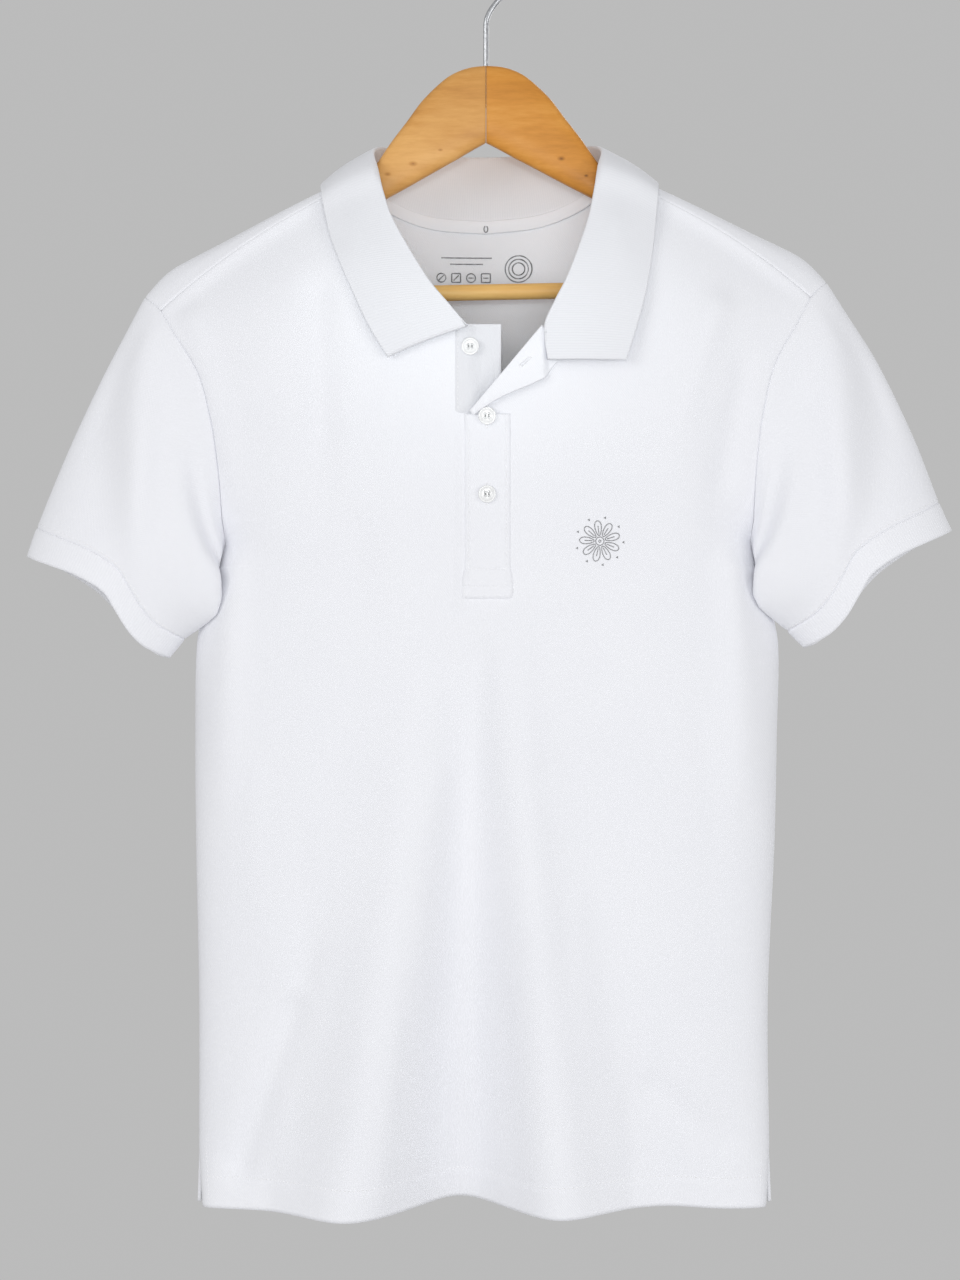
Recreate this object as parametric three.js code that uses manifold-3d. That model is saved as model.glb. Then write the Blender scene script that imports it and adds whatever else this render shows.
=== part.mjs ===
// A short-sleeved polo shirt that hangs on a shaped wooden hanger with a steel hook.
// Millimetres, +Z up, the shirt's front faces -Y. The origin is the inner top of the hook,
// where a rail would touch it.
import * as THREE from 'three';
import { mergeVertices } from 'three/addons/utils/BufferGeometryUtils.js';
import Module from 'manifold-3d';

const wasm = await Module();
wasm.setup();

// Cloth walls and the gap left between two pieces that a seam joins
const clothWall = 1.4;
const hemWall = 2.2;
const collarWall = 1.8;
const cuffWall = 1.8;
const bandWall = 1.4;
const tapeWall = 1;
const tapeSeat = 1.75;
const tapeLean = 0.5;
const tapeWidth = 8;
const seamGap = 0.44;

// Lengths of the body, all as heights in the hanging shirt
const hemHeight = -844;
const ventHeight = -806;
const hemDepth = 20;
const hemLift = 0.19;
const hemFade = 130;
const underarmHeight = -425;
const slitHeight = -326.5;
const neckHeight = -268.5;

// The shoulder seam lies in front of the ridge, from the neck point out to the armhole
const seamDepth = -15;
const seamNeckReach = 85;
const seamTipReach = 211;
const seamNeckHeight = -172.6;
const seamTipHeight = -261.8;
const seamBow = 8;
const seamFade = 45;

// How finely each panel is divided
const shoulderColumns = 8;
const frontNeckColumns = 6;
const halfBackNeckColumns = 5;
const bodyRows = 12;
const ringHalf = 12;
const cornerStep = 10;
const slitRow = 6;
const relaxPasses = 200;

// The hanger leans a little: height gained per millimetre to the right
const hangerTilt = 0.0198;

// Placket, buttons and their places
const placketLeft = -13.4;
const placketWidth = 28.5;
const placketBottom = -445;
const underlapLeft = -20.5;
const underlapRight = 9.5;
const underlapBottom = -438;
const buttonRadius = 5.8;
const buttonThick = 2.4;
const buttonHoleRadius = 0.8;
const buttonHoleReach = 1.5;

// Hanger sizes
const armThick = 13.5;
const barRadius = 5.3;
const barHeight = -242;
const barReach = 176;
const hookWire = 1.8;
const hookRadius = 23.2;
const shankBottom = -120;

const clothColour = 0xf1f2f6;
const woodColour = 0xd29657;
const barColour = 0xdcb27a;
const steelColour = 0xc4c6ca;
const buttonColour = 0xf4f4f2;

// Sections of the body from hem to shoulder: side places, side depth and how far the
// front and the back stand out from the hanger's plane
const bodySections = [
  { height: -850, left: -189.5, right: 187.5, side: 6, front: 26, back: 34 },
  { height: -806, left: -189.5, right: 187, side: 6, front: 29, back: 35 },
  { height: -709, left: -189.4, right: 186, side: 6, front: 37, back: 36 },
  { height: -603, left: -191.4, right: 190.5, side: 6, front: 43, back: 36 },
  { height: -535, left: -192, right: 192, side: 7, front: 46, back: 36 },
  { height: -475, left: -191, right: 193, side: 8, front: 47, back: 34 },
  { height: -450, left: -186.5, right: 188.5, side: 8, front: 47, back: 33 },
  { height: -425, left: -181, right: 184, side: 8, front: 47, back: 31 },
  { height: -352, left: -208, right: 208, side: 4, front: 48, back: 32 },
  { height: -255, left: -245, right: 245, side: 0, front: 50, back: 40 },
  { height: -150, left: -262, right: 262, side: 0, front: 50, back: 46 },
];
const sectionPower = 2.6;

// The hanger's shoulder ridge under the cloth, before the lean
const ridgeLine = [
  { reach: 60, height: -151 },
  { reach: 84, height: -163.4 },
  { reach: 108, height: -175.2 },
  { reach: 130, height: -185.2 },
  { reach: 152, height: -196 },
  { reach: 180, height: -210 },
  { reach: 207, height: -223.6 },
  { reach: 217, height: -232.5 },
  { reach: 226, height: -242 },
];

// Soft folds of the front: from a place near the chest to a place near the hem.
// A rise is towards the wearer when positive, and wide is the fold's half width. Both change
// evenly along the fold, to riseTo and wideTo.
const frontFolds = [
  { fromX: -44, fromZ: -480, toX: -96, toZ: -860, bow: -8, rise: 0, riseTo: -24, wide: 22, wideTo: 34 },
  { fromX: -10, fromZ: -490, toX: -17, toZ: -860, bow: 0, rise: 3, riseTo: 31, wide: 15, wideTo: 31 },
  { fromX: 9, fromZ: -460, toX: 50, toZ: -860, bow: -3, rise: -2, riseTo: -18, wide: 16, wideTo: 29 },
  { fromX: 62, fromZ: -560, toX: 120, toZ: -860, bow: 0, rise: 2, riseTo: 9, wide: 22, wideTo: 30 },
  { fromX: -126, fromZ: -712, toX: -161, toZ: -815, bow: 0, rise: 4, riseTo: 7, wide: 9, wideTo: 11 },
  { fromX: 111, fromZ: -764, toX: 153, toZ: -800, bow: 0, rise: 4, riseTo: 6, wide: 9, wideTo: 11 },
  { fromX: -109, fromZ: -250, toX: -108, toZ: -330, bow: 0, rise: 4, riseTo: 5, wide: 11, wideTo: 13 },
  { fromX: -192, fromZ: -262, toX: -172, toZ: -343, bow: 0, rise: -3, riseTo: -4, wide: 9, wideTo: 12 },
  { fromX: 150, fromZ: -255, toX: 129, toZ: -315, bow: 0, rise: -4, riseTo: -3, wide: 10, wideTo: 13 },
  { fromX: 168, fromZ: -295, toX: 156, toZ: -358, bow: 0, rise: 3, riseTo: 5, wide: 9, wideTo: 12 },
  { fromX: -167, fromZ: -425, toX: -177, toZ: -575, bow: 0, rise: -9, riseTo: -3, wide: 10, wideTo: 16 },
  { fromX: 163, fromZ: -425, toX: 172, toZ: -565, bow: 0, rise: -9, riseTo: -3, wide: 10, wideTo: 16 },
];

// Soft folds of the back, of the same kind; a positive rise is away from the wearer
const backFolds = [
  { fromX: -60, fromZ: -470, toX: -92, toZ: -860, bow: 4, rise: 0, riseTo: 14, wide: 24, wideTo: 34 },
  { fromX: -8, fromZ: -440, toX: -14, toZ: -860, bow: 6, rise: -2, riseTo: -12, wide: 18, wideTo: 30 },
  { fromX: 42, fromZ: -450, toX: 66, toZ: -860, bow: -4, rise: 1, riseTo: 16, wide: 20, wideTo: 30 },
  { fromX: 104, fromZ: -520, toX: 128, toZ: -860, bow: 0, rise: -1, riseTo: -10, wide: 18, wideTo: 26 },
  { fromX: -150, fromZ: -300, toX: -128, toZ: -400, bow: 0, rise: -3, riseTo: -5, wide: 12, wideTo: 16 },
  { fromX: 150, fromZ: -300, toX: 128, toZ: -400, bow: 0, rise: -3, riseTo: -5, wide: 12, wideTo: 16 },
];

// The front neckline from the shoulder seam down to the slit, on each side
const neckLeft = [
  { step: 0, x: -85, z: -170.2 },
  { step: 1, x: -80, z: -184 },
  { step: 2, x: -70, z: -204 },
  { step: 3, x: -56, z: -226 },
  { step: 4, x: -38, z: -246 },
  { step: 5, x: -28, z: -257.5 },
  { step: 6, x: -18.5, z: -267.5 },
];
const neckRight = [
  { step: 0, x: 88, z: -169 },
  { step: 1, x: 83, z: -184 },
  { step: 2, x: 74, z: -204 },
  { step: 3, x: 65, z: -223 },
  { step: 4, x: 56, z: -241 },
  { step: 5, x: 47, z: -256 },
  { step: 6, x: 38, z: -268.5 },
];

// Half of the back neckline, from the shoulder seam over the ridge to the centre back
const neckBack = [
  { step: 0, x: 86, y: -15, z: -169.5 },
  { step: 1, x: 86.2, y: -2, z: -162.8 },
  { step: 2, x: 81, y: 13.5, z: -168 },
  { step: 3, x: 67, y: 28, z: -180 },
  { step: 4, x: 38, y: 40.5, z: -190.5 },
  { step: 5, x: 0, y: 45, z: -194 },
];

// Rings of a sleeve from armhole to cuff edge: the outer and the underarm line in space,
// and how far the ring stands out in front of and behind the line between them
const sleeveLeft = [
  { along: 0, outX: -224.4, outY: -2, outZ: -245.8, inX: -181, inY: 8, inZ: -425, front: 34, back: 27 },
  { along: 0.14, outX: -235.5, outY: -1.6, outZ: -266.9, inX: -187.5, inY: -1, inZ: -432, front: 30, back: 32 },
  { along: 0.36, outX: -252.8, outY: -1, outZ: -299.9, inX: -184.5, inY: -22, inZ: -441, front: 24, back: 42 },
  { along: 0.68, outX: -274.5, outY: 0, outZ: -346, inX: -189.5, inY: -18, inZ: -457, front: 26, back: 36 },
  { along: 1, outX: -295.7, outY: 0, outZ: -397.6, inX: -199, inY: -4, inZ: -470.5, front: 30, back: 25 },
  { along: 1.2, outX: -302.3, outY: 0, outZ: -416.7, inX: -209.3, inY: -3, inZ: -483, front: 31, back: 25 },
];
const sleeveRight = [
  { along: 0, outX: 224, outY: -2, outZ: -236.2, inX: 184, inY: 8, inZ: -425, front: 34, back: 27 },
  { along: 0.14, outX: 237, outY: -1.6, outZ: -256.5, inX: 188.5, inY: -1, inZ: -431, front: 30, back: 32 },
  { along: 0.36, outX: 257, outY: -1, outZ: -288, inX: 186, inY: -22, inZ: -438, front: 24, back: 42 },
  { along: 0.68, outX: 281, outY: 0, outZ: -337, inX: 191, inY: -18, inZ: -452, front: 26, back: 36 },
  { along: 1, outX: 298.3, outY: 0, outZ: -381.1, inX: 199, inY: -4, inZ: -464.9, front: 30, back: 25 },
  { along: 1.2, outX: 306.6, outY: 0, outZ: -399.6, inX: 210, inY: -3, inZ: -476.1, front: 31, back: 25 },
];
const ringPower = 0.55;

// A dent behind the underarm and a ridge down the front of each sleeve
const tuckDepth = 9;
const sleeveRidge = { rise: 4, slope: 0.55, wide: 0.16 };

// How far a ring bows towards the neck, at parts of the way from its outer line to the underarm
const ringBow = [
  { part: 0, armFront: 0, cuffFront: 0, armBack: 0, cuffBack: 0 },
  { part: 0.06, armFront: 8, cuffFront: 1.6, armBack: 5, cuffBack: 0 },
  { part: 0.16, armFront: 14, cuffFront: 5, armBack: 9, cuffBack: 0 },
  { part: 0.32, armFront: 23.5, cuffFront: 10, armBack: 13, cuffBack: -1 },
  { part: 0.5, armFront: 24.5, cuffFront: 11.5, armBack: 14, cuffBack: -2 },
  { part: 0.62, armFront: 22.5, cuffFront: 6, armBack: 13, cuffBack: -4 },
  { part: 0.73, armFront: 19.5, cuffFront: 0.5, armBack: 11, cuffBack: -6 },
  { part: 0.84, armFront: 15.5, cuffFront: -2.4, armBack: 8, cuffBack: -7 },
  { part: 0.94, armFront: 12, cuffFront: -1.5, armBack: 5, cuffBack: -5 },
  { part: 1, armFront: 0, cuffFront: 0, armBack: 0, cuffBack: 0 },
];

// The collar round the neckline: where it rolls over and where its leaf ends
const collarLeft = [
  { step: 0, rollX: -12.3, rollY: -53.5, rollZ: -269.5, edgeX: -63.5, edgeY: -53, edgeZ: -289.3 },
  { step: 1, rollX: -24.5, rollY: -53, rollZ: -255, edgeX: -79, edgeY: -52, edgeZ: -268 },
  { step: 2, rollX: -37, rollY: -49.5, rollZ: -239.5, edgeX: -86.5, edgeY: -46, edgeZ: -246 },
  { step: 4, rollX: -61.5, rollY: -32, rollZ: -196, edgeX: -101, edgeY: -32, edgeZ: -210 },
  { step: 6, rollX: -71, rollY: -15.5, rollZ: -163, edgeX: -107.5, edgeY: -16, edgeZ: -180 },
  { step: 7, rollX: -74, rollY: -1, rollZ: -150, edgeX: -108, edgeY: -1, edgeZ: -171.4 },
  { step: 8, rollX: -68.5, rollY: 18, rollZ: -144.8, edgeX: -101, edgeY: 21, edgeZ: -174.5 },
  { step: 9, rollX: -56, rollY: 32, rollZ: -146, edgeX: -80, edgeY: 40, edgeZ: -184.5 },
  { step: 10, rollX: -31, rollY: 44, rollZ: -147.5, edgeX: -44, edgeY: 54.5, edgeZ: -193 },
  { step: 11, rollX: 0, rollY: 47.5, rollZ: -148, edgeX: 0, edgeY: 58.5, edgeZ: -195.5 },
];
const collarRight = [
  { step: 11, rollX: 0, rollY: 47.5, rollZ: -148, edgeX: 0, edgeY: 58.5, edgeZ: -195.5 },
  { step: 12, rollX: 32, rollY: 44, rollZ: -147, edgeX: 45, edgeY: 54.5, edgeZ: -192 },
  { step: 13, rollX: 57, rollY: 32, rollZ: -145.5, edgeX: 82, edgeY: 40, edgeZ: -183 },
  { step: 14, rollX: 70, rollY: 18, rollZ: -144, edgeX: 104, edgeY: 21, edgeZ: -173 },
  { step: 15, rollX: 76, rollY: -1, rollZ: -149, edgeX: 112, edgeY: -1, edgeZ: -170.4 },
  { step: 16, rollX: 73.5, rollY: -15.5, rollZ: -161, edgeX: 112.5, edgeY: -16, edgeZ: -177.5 },
  { step: 18, rollX: 66.5, rollY: -32, rollZ: -197, edgeX: 109, edgeY: -33, edgeZ: -212 },
  { step: 20, rollX: 52, rollY: -50, rollZ: -238, edgeX: 104, edgeY: -47, edgeZ: -243 },
  { step: 22, rollX: 38.5, rollY: -56.5, rollZ: -267, edgeX: 97, edgeY: -53, edgeZ: -270 },
  { step: 24, rollX: 40.5, rollY: -57.5, rollZ: -291, edgeX: 90, edgeY: -56, edgeZ: -291.4 },
];
const standSteps = 3;
const fallSteps = 6;
const rollSpread = 3.4;
const leafRest = 4;

// The turned-back corner of the placket: its fold line from the slit's foot to the collar,
// and its free corner
const lapelFoot = { x: -10.5, z: -326.5 };
const lapelTop = { x: 38, z: -268.5 };
const lapelCorner = { x: 37.5, z: -302.5 };
const lapelSeamEnd = { x: 40.5, z: -291 };
const lapelLift = 3.2;

// Sections of one hanger arm from the centre joint to the tip
const armSections = [
  { reach: 0.15, top: -92.7, bottom: -143.5, thick: 1 },
  { reach: 10, top: -93.6, bottom: -148.8, thick: 1 },
  { reach: 20, top: -96.8, bottom: -154.5, thick: 1 },
  { reach: 28.4, top: -102, bottom: -159, thick: 1 },
  { reach: 42.2, top: -115.2, bottom: -166.6, thick: 1 },
  { reach: 52.1, top: -128.4, bottom: -172, thick: 1 },
  { reach: 62.7, top: -142.2, bottom: -177.6, thick: 1 },
  { reach: 73, top: -157.2, bottom: -183.2, thick: 0.97 },
  { reach: 84, top: -170.4, bottom: -189.2, thick: 0.9 },
  { reach: 96, top: -174, bottom: -196.3, thick: 0.95 },
  { reach: 108, top: -177.6, bottom: -203.5, thick: 1 },
  { reach: 130, top: -187.4, bottom: -217, thick: 1 },
  { reach: 152, top: -198.2, bottom: -230.5, thick: 1 },
  { reach: 180, top: -212.2, bottom: -246.5, thick: 1 },
  { reach: 203, top: -226.8, bottom: -259.5, thick: 1 },
  { reach: 212, top: -235.5, bottom: -260.5, thick: 0.86 },
  { reach: 217, top: -242.5, bottom: -256.5, thick: 0.5 },
];
const armSides = 16;
const armSquareness = 0.62;

function material(colour, roughness, metalness) {
  return new THREE.MeshStandardMaterial({ color: colour, roughness, metalness });
}

// One column of a table at a place between its rows, by a smooth curve through the rows
function valueAt(table, key, place, column) {
  const last = table.length - 1;
  const rising = table[last][key] > table[0][key];
  let row = 0;
  while (row < last - 1 && rising === (place > table[row + 1][key])) {
    row += 1;
  }
  const low = table[row];
  const high = table[row + 1];
  const before = table[Math.max(row - 1, 0)];
  const after = table[Math.min(row + 2, last)];
  const span = high[key] - low[key];
  const part = THREE.MathUtils.clamp((place - low[key]) / span, 0, 1);
  const slopeLow = ((high[column] - before[column]) / (high[key] - before[key])) * span;
  const slopeHigh = ((after[column] - low[column]) / (after[key] - low[key])) * span;
  const square = part * part;
  const cube = square * part;
  return (2 * cube - 3 * square + 1) * low[column] + (cube - 2 * square + part) * slopeLow
    + (3 * square - 2 * cube) * high[column] + (cube - square) * slopeHigh;
}

function blend(from, to, part) {
  return from + (to - from) * part;
}

function mixPoints(from, to, part) {
  return new THREE.Vector3().lerpVectors(from, to, part);
}

// Height gained or lost by a list of folds at a place: a soft bell across each fold's line
function foldRise(folds, x, z) {
  let sum = 0;
  for (const fold of folds) {
    const runX = fold.toX - fold.fromX;
    const runZ = fold.toZ - fold.fromZ;
    const length = Math.hypot(runX, runZ);
    const along = ((x - fold.fromX) * runX + (z - fold.fromZ) * runZ) / (length * length);
    const part = THREE.MathUtils.clamp(along, 0, 1);
    const bow = 4 * fold.bow * part * (1 - part);
    const lineX = fold.fromX + runX * part + (bow * runZ) / length;
    const lineZ = fold.fromZ + runZ * part;
    const away = Math.hypot(x - lineX, z - lineZ) / blend(fold.wide, fold.wideTo, part);
    sum += blend(fold.rise, fold.riseTo, part) * Math.exp(-away * away);
  }
  return sum;
}

function sectionShape(across) {
  const filled = Math.min(Math.abs(across), 1) ** sectionPower;
  return (1 - filled) ** (1 / sectionPower);
}

function acrossBody(x, z) {
  const left = valueAt(bodySections, 'height', z, 'left');
  const right = valueAt(bodySections, 'height', z, 'right');
  return (x - (left + right) / 2) / ((right - left) / 2);
}

// Height of the shoulder seam, which lies in front of the ridge
function seamHeight(x) {
  const over = (Math.abs(x) - seamNeckReach) / (seamTipReach - seamNeckReach);
  const part = THREE.MathUtils.clamp(over, 0, 1);
  const bow = seamBow * Math.sin(Math.PI * part ** 1.2);
  return blend(seamNeckHeight, seamTipHeight, part) + bow + hangerTilt * x;
}

// Depth of the front at a place: the section's curve, held at the shoulder seam, with folds
function frontDepth(x, z) {
  const across = acrossBody(x, z);
  const shape = sectionShape(across);
  const side = valueAt(bodySections, 'height', z, 'side');
  const out = valueAt(bodySections, 'height', z, 'front');
  const below = Math.max(seamHeight(x) - z, 0) / seamFade;
  const hold = Math.max(Math.exp(-(below ** 1.3)) - 0.02, 0) / 0.98;
  const edge = 1 - Math.min(Math.abs(across), 1) ** 8;
  const bare = blend(side * (1 - shape) - out * shape, seamDepth, hold);
  return bare + foldRise(frontFolds, x, z) * edge;
}

// Depth of the back at a place below the underarm
function backDepth(x, z) {
  const across = acrossBody(x, z);
  const shape = sectionShape(across);
  const side = valueAt(bodySections, 'height', z, 'side');
  const out = valueAt(bodySections, 'height', z, 'back');
  const edge = 1 - Math.min(Math.abs(across), 1) ** 8;
  return side * (1 - shape) + out * shape + foldRise(backFolds, x, z) * edge;
}

function ridgeHeight(x) {
  return valueAt(ridgeLine, 'reach', Math.abs(x), 'height') + hangerTilt * x;
}

// A point of a sleeve ring: step 0 is the underarm, ringHalf the outer line, and the steps
// beyond it come back down behind
function ringPoint(rings, along, step) {
  const side = Math.sign(rings[0].outX);
  const behind = step > ringHalf;
  const part = (1 + Math.cos((Math.PI * step) / ringHalf)) / 2;
  const row = (column) => valueAt(rings, 'along', along, column);
  const runX = row('inX') - row('outX');
  const runZ = row('inZ') - row('outZ');
  const length = Math.hypot(runX, runZ);
  const far = Math.min(along, 1);
  const bow = blend(
    valueAt(ringBow, 'part', part, behind ? 'armBack' : 'armFront'),
    valueAt(ringBow, 'part', part, behind ? 'cuffBack' : 'cuffFront'),
    far ** 0.5,
  );
  const middle = Math.sin(Math.PI * far);
  const tuck = behind ? -tuckDepth * middle * part ** 6 * (1 - part ** 20) : 0;
  const round = Math.sin(Math.PI * part) ** ringPower;
  const fromRidge = (part - sleeveRidge.slope * far) / sleeveRidge.wide;
  const ridge = -sleeveRidge.rise * middle * Math.exp(-(fromRidge ** 2));
  const depth = behind ? row('back') * round : -row('front') * round + ridge * round;
  return new THREE.Vector3(
    row('outX') + runX * part + (side * runZ * (bow + tuck)) / length,
    blend(row('outY'), row('inY'), part) + depth,
    row('outZ') + runZ * part + (-side * runX * (bow + tuck)) / length,
  );
}

// How a body column is spread across the panel: closer together near the sides
function columnPlace(share) {
  return 0.62 * share + 0.38 * Math.sin((Math.PI / 2) * share);
}

// Heights of the body rows, from the hem up to the underarm
function bodyHeights() {
  const heights = [hemHeight, hemHeight + hemDepth, ventHeight];
  for (let row = 1; row <= bodyRows; row += 1) {
    heights.push(blend(ventHeight, underarmHeight, row / bodyRows));
  }
  return heights;
}

// A point of the front or back panel below the underarm. At the vents the side edges part.
function bodyPoint(share, height, row, depth, folds) {
  const left = valueAt(bodySections, 'height', height, 'left');
  const right = valueAt(bodySections, 'height', height, 'right');
  const x = (left + right) / 2 + ((right - left) / 2) * columnPlace(share);
  const front = folds === frontFolds;
  const rise = front ? foldRise(folds, x, height) : -foldRise(folds, x, height);
  const low = Math.max(1 - (height - hemHeight) / hemFade, 0);
  const open = Math.max(1 - row / 2, 0) * Math.abs(share) ** 6;
  const z = height + hemLift * rise * low * (1 - share ** 8);
  const parted = front ? -7 * open : 8 * open;
  const spread = (front ? -3 : 2) * open * Math.sign(share);
  return new THREE.Vector3(x + spread, depth(x, height) + parted, z);
}

// Edge points shared by the panels that meet in the shoulder seam, from armhole to neck
function shoulderSeam(side) {
  const rings = side < 0 ? sleeveLeft : sleeveRight;
  const corner = ringPoint(rings, 0, cornerStep);
  const neck = side < 0 ? neckLeft[0] : neckRight[0];
  const points = [corner];
  for (let step = 1; step < shoulderColumns; step += 1) {
    const part = step / shoulderColumns;
    const x = blend(corner.x, neck.x, part);
    const top = blend(corner.z, neck.z, part) + 7 * Math.sin(Math.PI * part ** 0.85);
    points.push(new THREE.Vector3(x, blend(corner.y, seamDepth, Math.min(2 * part, 1)), top));
  }
  points.push(new THREE.Vector3(neck.x, seamDepth, neck.z));
  return points;
}

function frontNeckline(table) {
  return table.map((row) => {
    const y = row.step === 0 ? seamDepth : frontDepth(row.x, row.z);
    return new THREE.Vector3(row.x, y, row.z);
  });
}

function backNeckline() {
  const points = [];
  for (let step = 0; step <= 2 * halfBackNeckColumns; step += 1) {
    const row = neckBack[Math.min(step, 2 * halfBackNeckColumns - step)];
    const side = step < halfBackNeckColumns ? -1 : 1;
    points.push(new THREE.Vector3(side * row.x, row.y, row.z + side * hangerTilt * row.x));
  }
  points[0].set(neckLeft[0].x, seamDepth, neckLeft[0].z);
  points[2 * halfBackNeckColumns].set(neckRight[0].x, seamDepth, neckRight[0].z);
  return points;
}

// Inside of a four-sided patch from its four edges: the usual blend of the edges less the corners
function patchPoint(edges, row, column) {
  const { left, right, bottom, top } = edges;
  const up = row / (left.length - 1);
  const over = column / (bottom.length - 1);
  const sides = mixPoints(left[row], right[row], over);
  const ends = mixPoints(bottom[column], top[column], up);
  const low = mixPoints(bottom[0], bottom[bottom.length - 1], over);
  const high = mixPoints(top[0], top[top.length - 1], over);
  return sides.add(ends).sub(mixPoints(low, high, up));
}

// Spreads the inner points of a patch evenly: each moves to the middle of its neighbours
function relax(rows) {
  for (let pass = 0; pass < relaxPasses; pass += 1) {
    for (let row = 1; row < rows.length - 1; row += 1) {
      for (let column = 1; column < rows[row].length - 1; column += 1) {
        const sum = new THREE.Vector3().addVectors(rows[row - 1][column], rows[row + 1][column]);
        sum.add(rows[row][column - 1]).add(rows[row][column + 1]);
        rows[row][column].copy(sum.multiplyScalar(0.25));
      }
    }
  }
}

// One half of the front above the underarm, from armhole to centre line
function frontUpperHalf(side, underarmRow) {
  const rings = side < 0 ? sleeveLeft : sleeveRight;
  const neckTable = side < 0 ? neckLeft : neckRight;
  const armhole = [];
  const centre = [];
  const first = underarmRow[0];
  const middle = underarmRow[underarmRow.length - 1];
  const foot = lapelFoot;
  const top = neckTable[neckTable.length - 1];
  for (let row = 0; row <= cornerStep; row += 1) {
    armhole.push(row === 0 ? first.clone() : ringPoint(rings, 0, row));
    const low = Math.min(row / slitRow, 1);
    const high = Math.max((row - slitRow) / (cornerStep - slitRow), 0);
    const x = blend(blend(middle.x, foot.x, low), top.x, high);
    const z = blend(blend(middle.z, foot.z, low), top.z, high);
    centre.push(new THREE.Vector3(x, frontDepth(x, z), z));
  }
  const topEdge = [...shoulderSeam(side), ...frontNeckline(neckTable).slice(1)];
  const edges = { left: armhole, right: centre, bottom: underarmRow, top: topEdge };
  const rows = [];
  for (let row = 0; row <= cornerStep; row += 1) {
    const line = [];
    for (let column = 0; column < underarmRow.length; column += 1) {
      line.push(patchPoint(edges, row, column));
    }
    rows.push(line);
  }
  relax(rows);
  for (let row = 1; row < cornerStep; row += 1) {
    const edgeStep = armhole[row].y - frontDepth(armhole[row].x, armhole[row].z);
    for (let column = 1; column < underarmRow.length - 1; column += 1) {
      const point = rows[row][column];
      const near = Math.max(1 - column / 5, 0) ** 2;
      point.y = frontDepth(point.x, point.z) + edgeStep * near;
    }
  }
  return rows;
}

// A sheet gathers points and outward faces; its wall may differ from point to point
class Sheet {
  constructor(wall) {
    this.wall = wall;
    this.points = [];
    this.walls = [];
    this.faces = [];
  }

  add(point, wall = this.wall) {
    this.points.push(point);
    this.walls.push(wall);
    return this.points.length - 1;
  }

  quad(a, b, c, d) {
    this.faces.push([a, b, c], [a, c, d]);
  }

  // Joins rows of point numbers into quads; turned reverses which side is outside
  net(rows, turned = false, closed = false) {
    for (let row = 0; row < rows.length - 1; row += 1) {
      const count = rows[row].length;
      for (let column = 0; column < (closed ? count : count - 1); column += 1) {
        const next = (column + 1) % count;
        const corners = [rows[row][column], rows[row][next], rows[row + 1][next], rows[row + 1][column]];
        if (turned) {
          corners.reverse();
        }
        this.quad(...corners);
      }
    }
  }
}

function frontPanel() {
  const sheet = new Sheet(clothWall);
  const half = shoulderColumns + frontNeckColumns;
  const heights = bodyHeights();
  const rows = heights.map((height, row) => {
    const line = [];
    for (let column = -half; column <= half; column += 1) {
      const point = bodyPoint(column / half, height, row, frontDepth, frontFolds);
      line.push(sheet.add(point, row < 2 ? hemWall : clothWall));
    }
    return line;
  });
  const under = rows[rows.length - 1].map((index) => sheet.points[index]);
  const leftRows = frontUpperHalf(-1, under.slice(0, half + 1));
  const rightRows = frontUpperHalf(1, under.slice(half).reverse());
  const leftNet = [rows[rows.length - 1].slice(0, half + 1)];
  const rightNet = [rows[rows.length - 1].slice(half)];
  for (let row = 1; row <= cornerStep; row += 1) {
    const left = leftRows[row].map((point) => sheet.add(point));
    const right = rightRows[row].slice().reverse().map((point, column) => {
      const shared = column === 0 && row <= slitRow;
      return shared ? left[half] : sheet.add(point);
    });
    leftNet.push(left);
    rightNet.push(right);
  }
  sheet.net(rows);
  sheet.net(leftNet);
  sheet.net(rightNet);
  return sheet;
}

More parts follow.
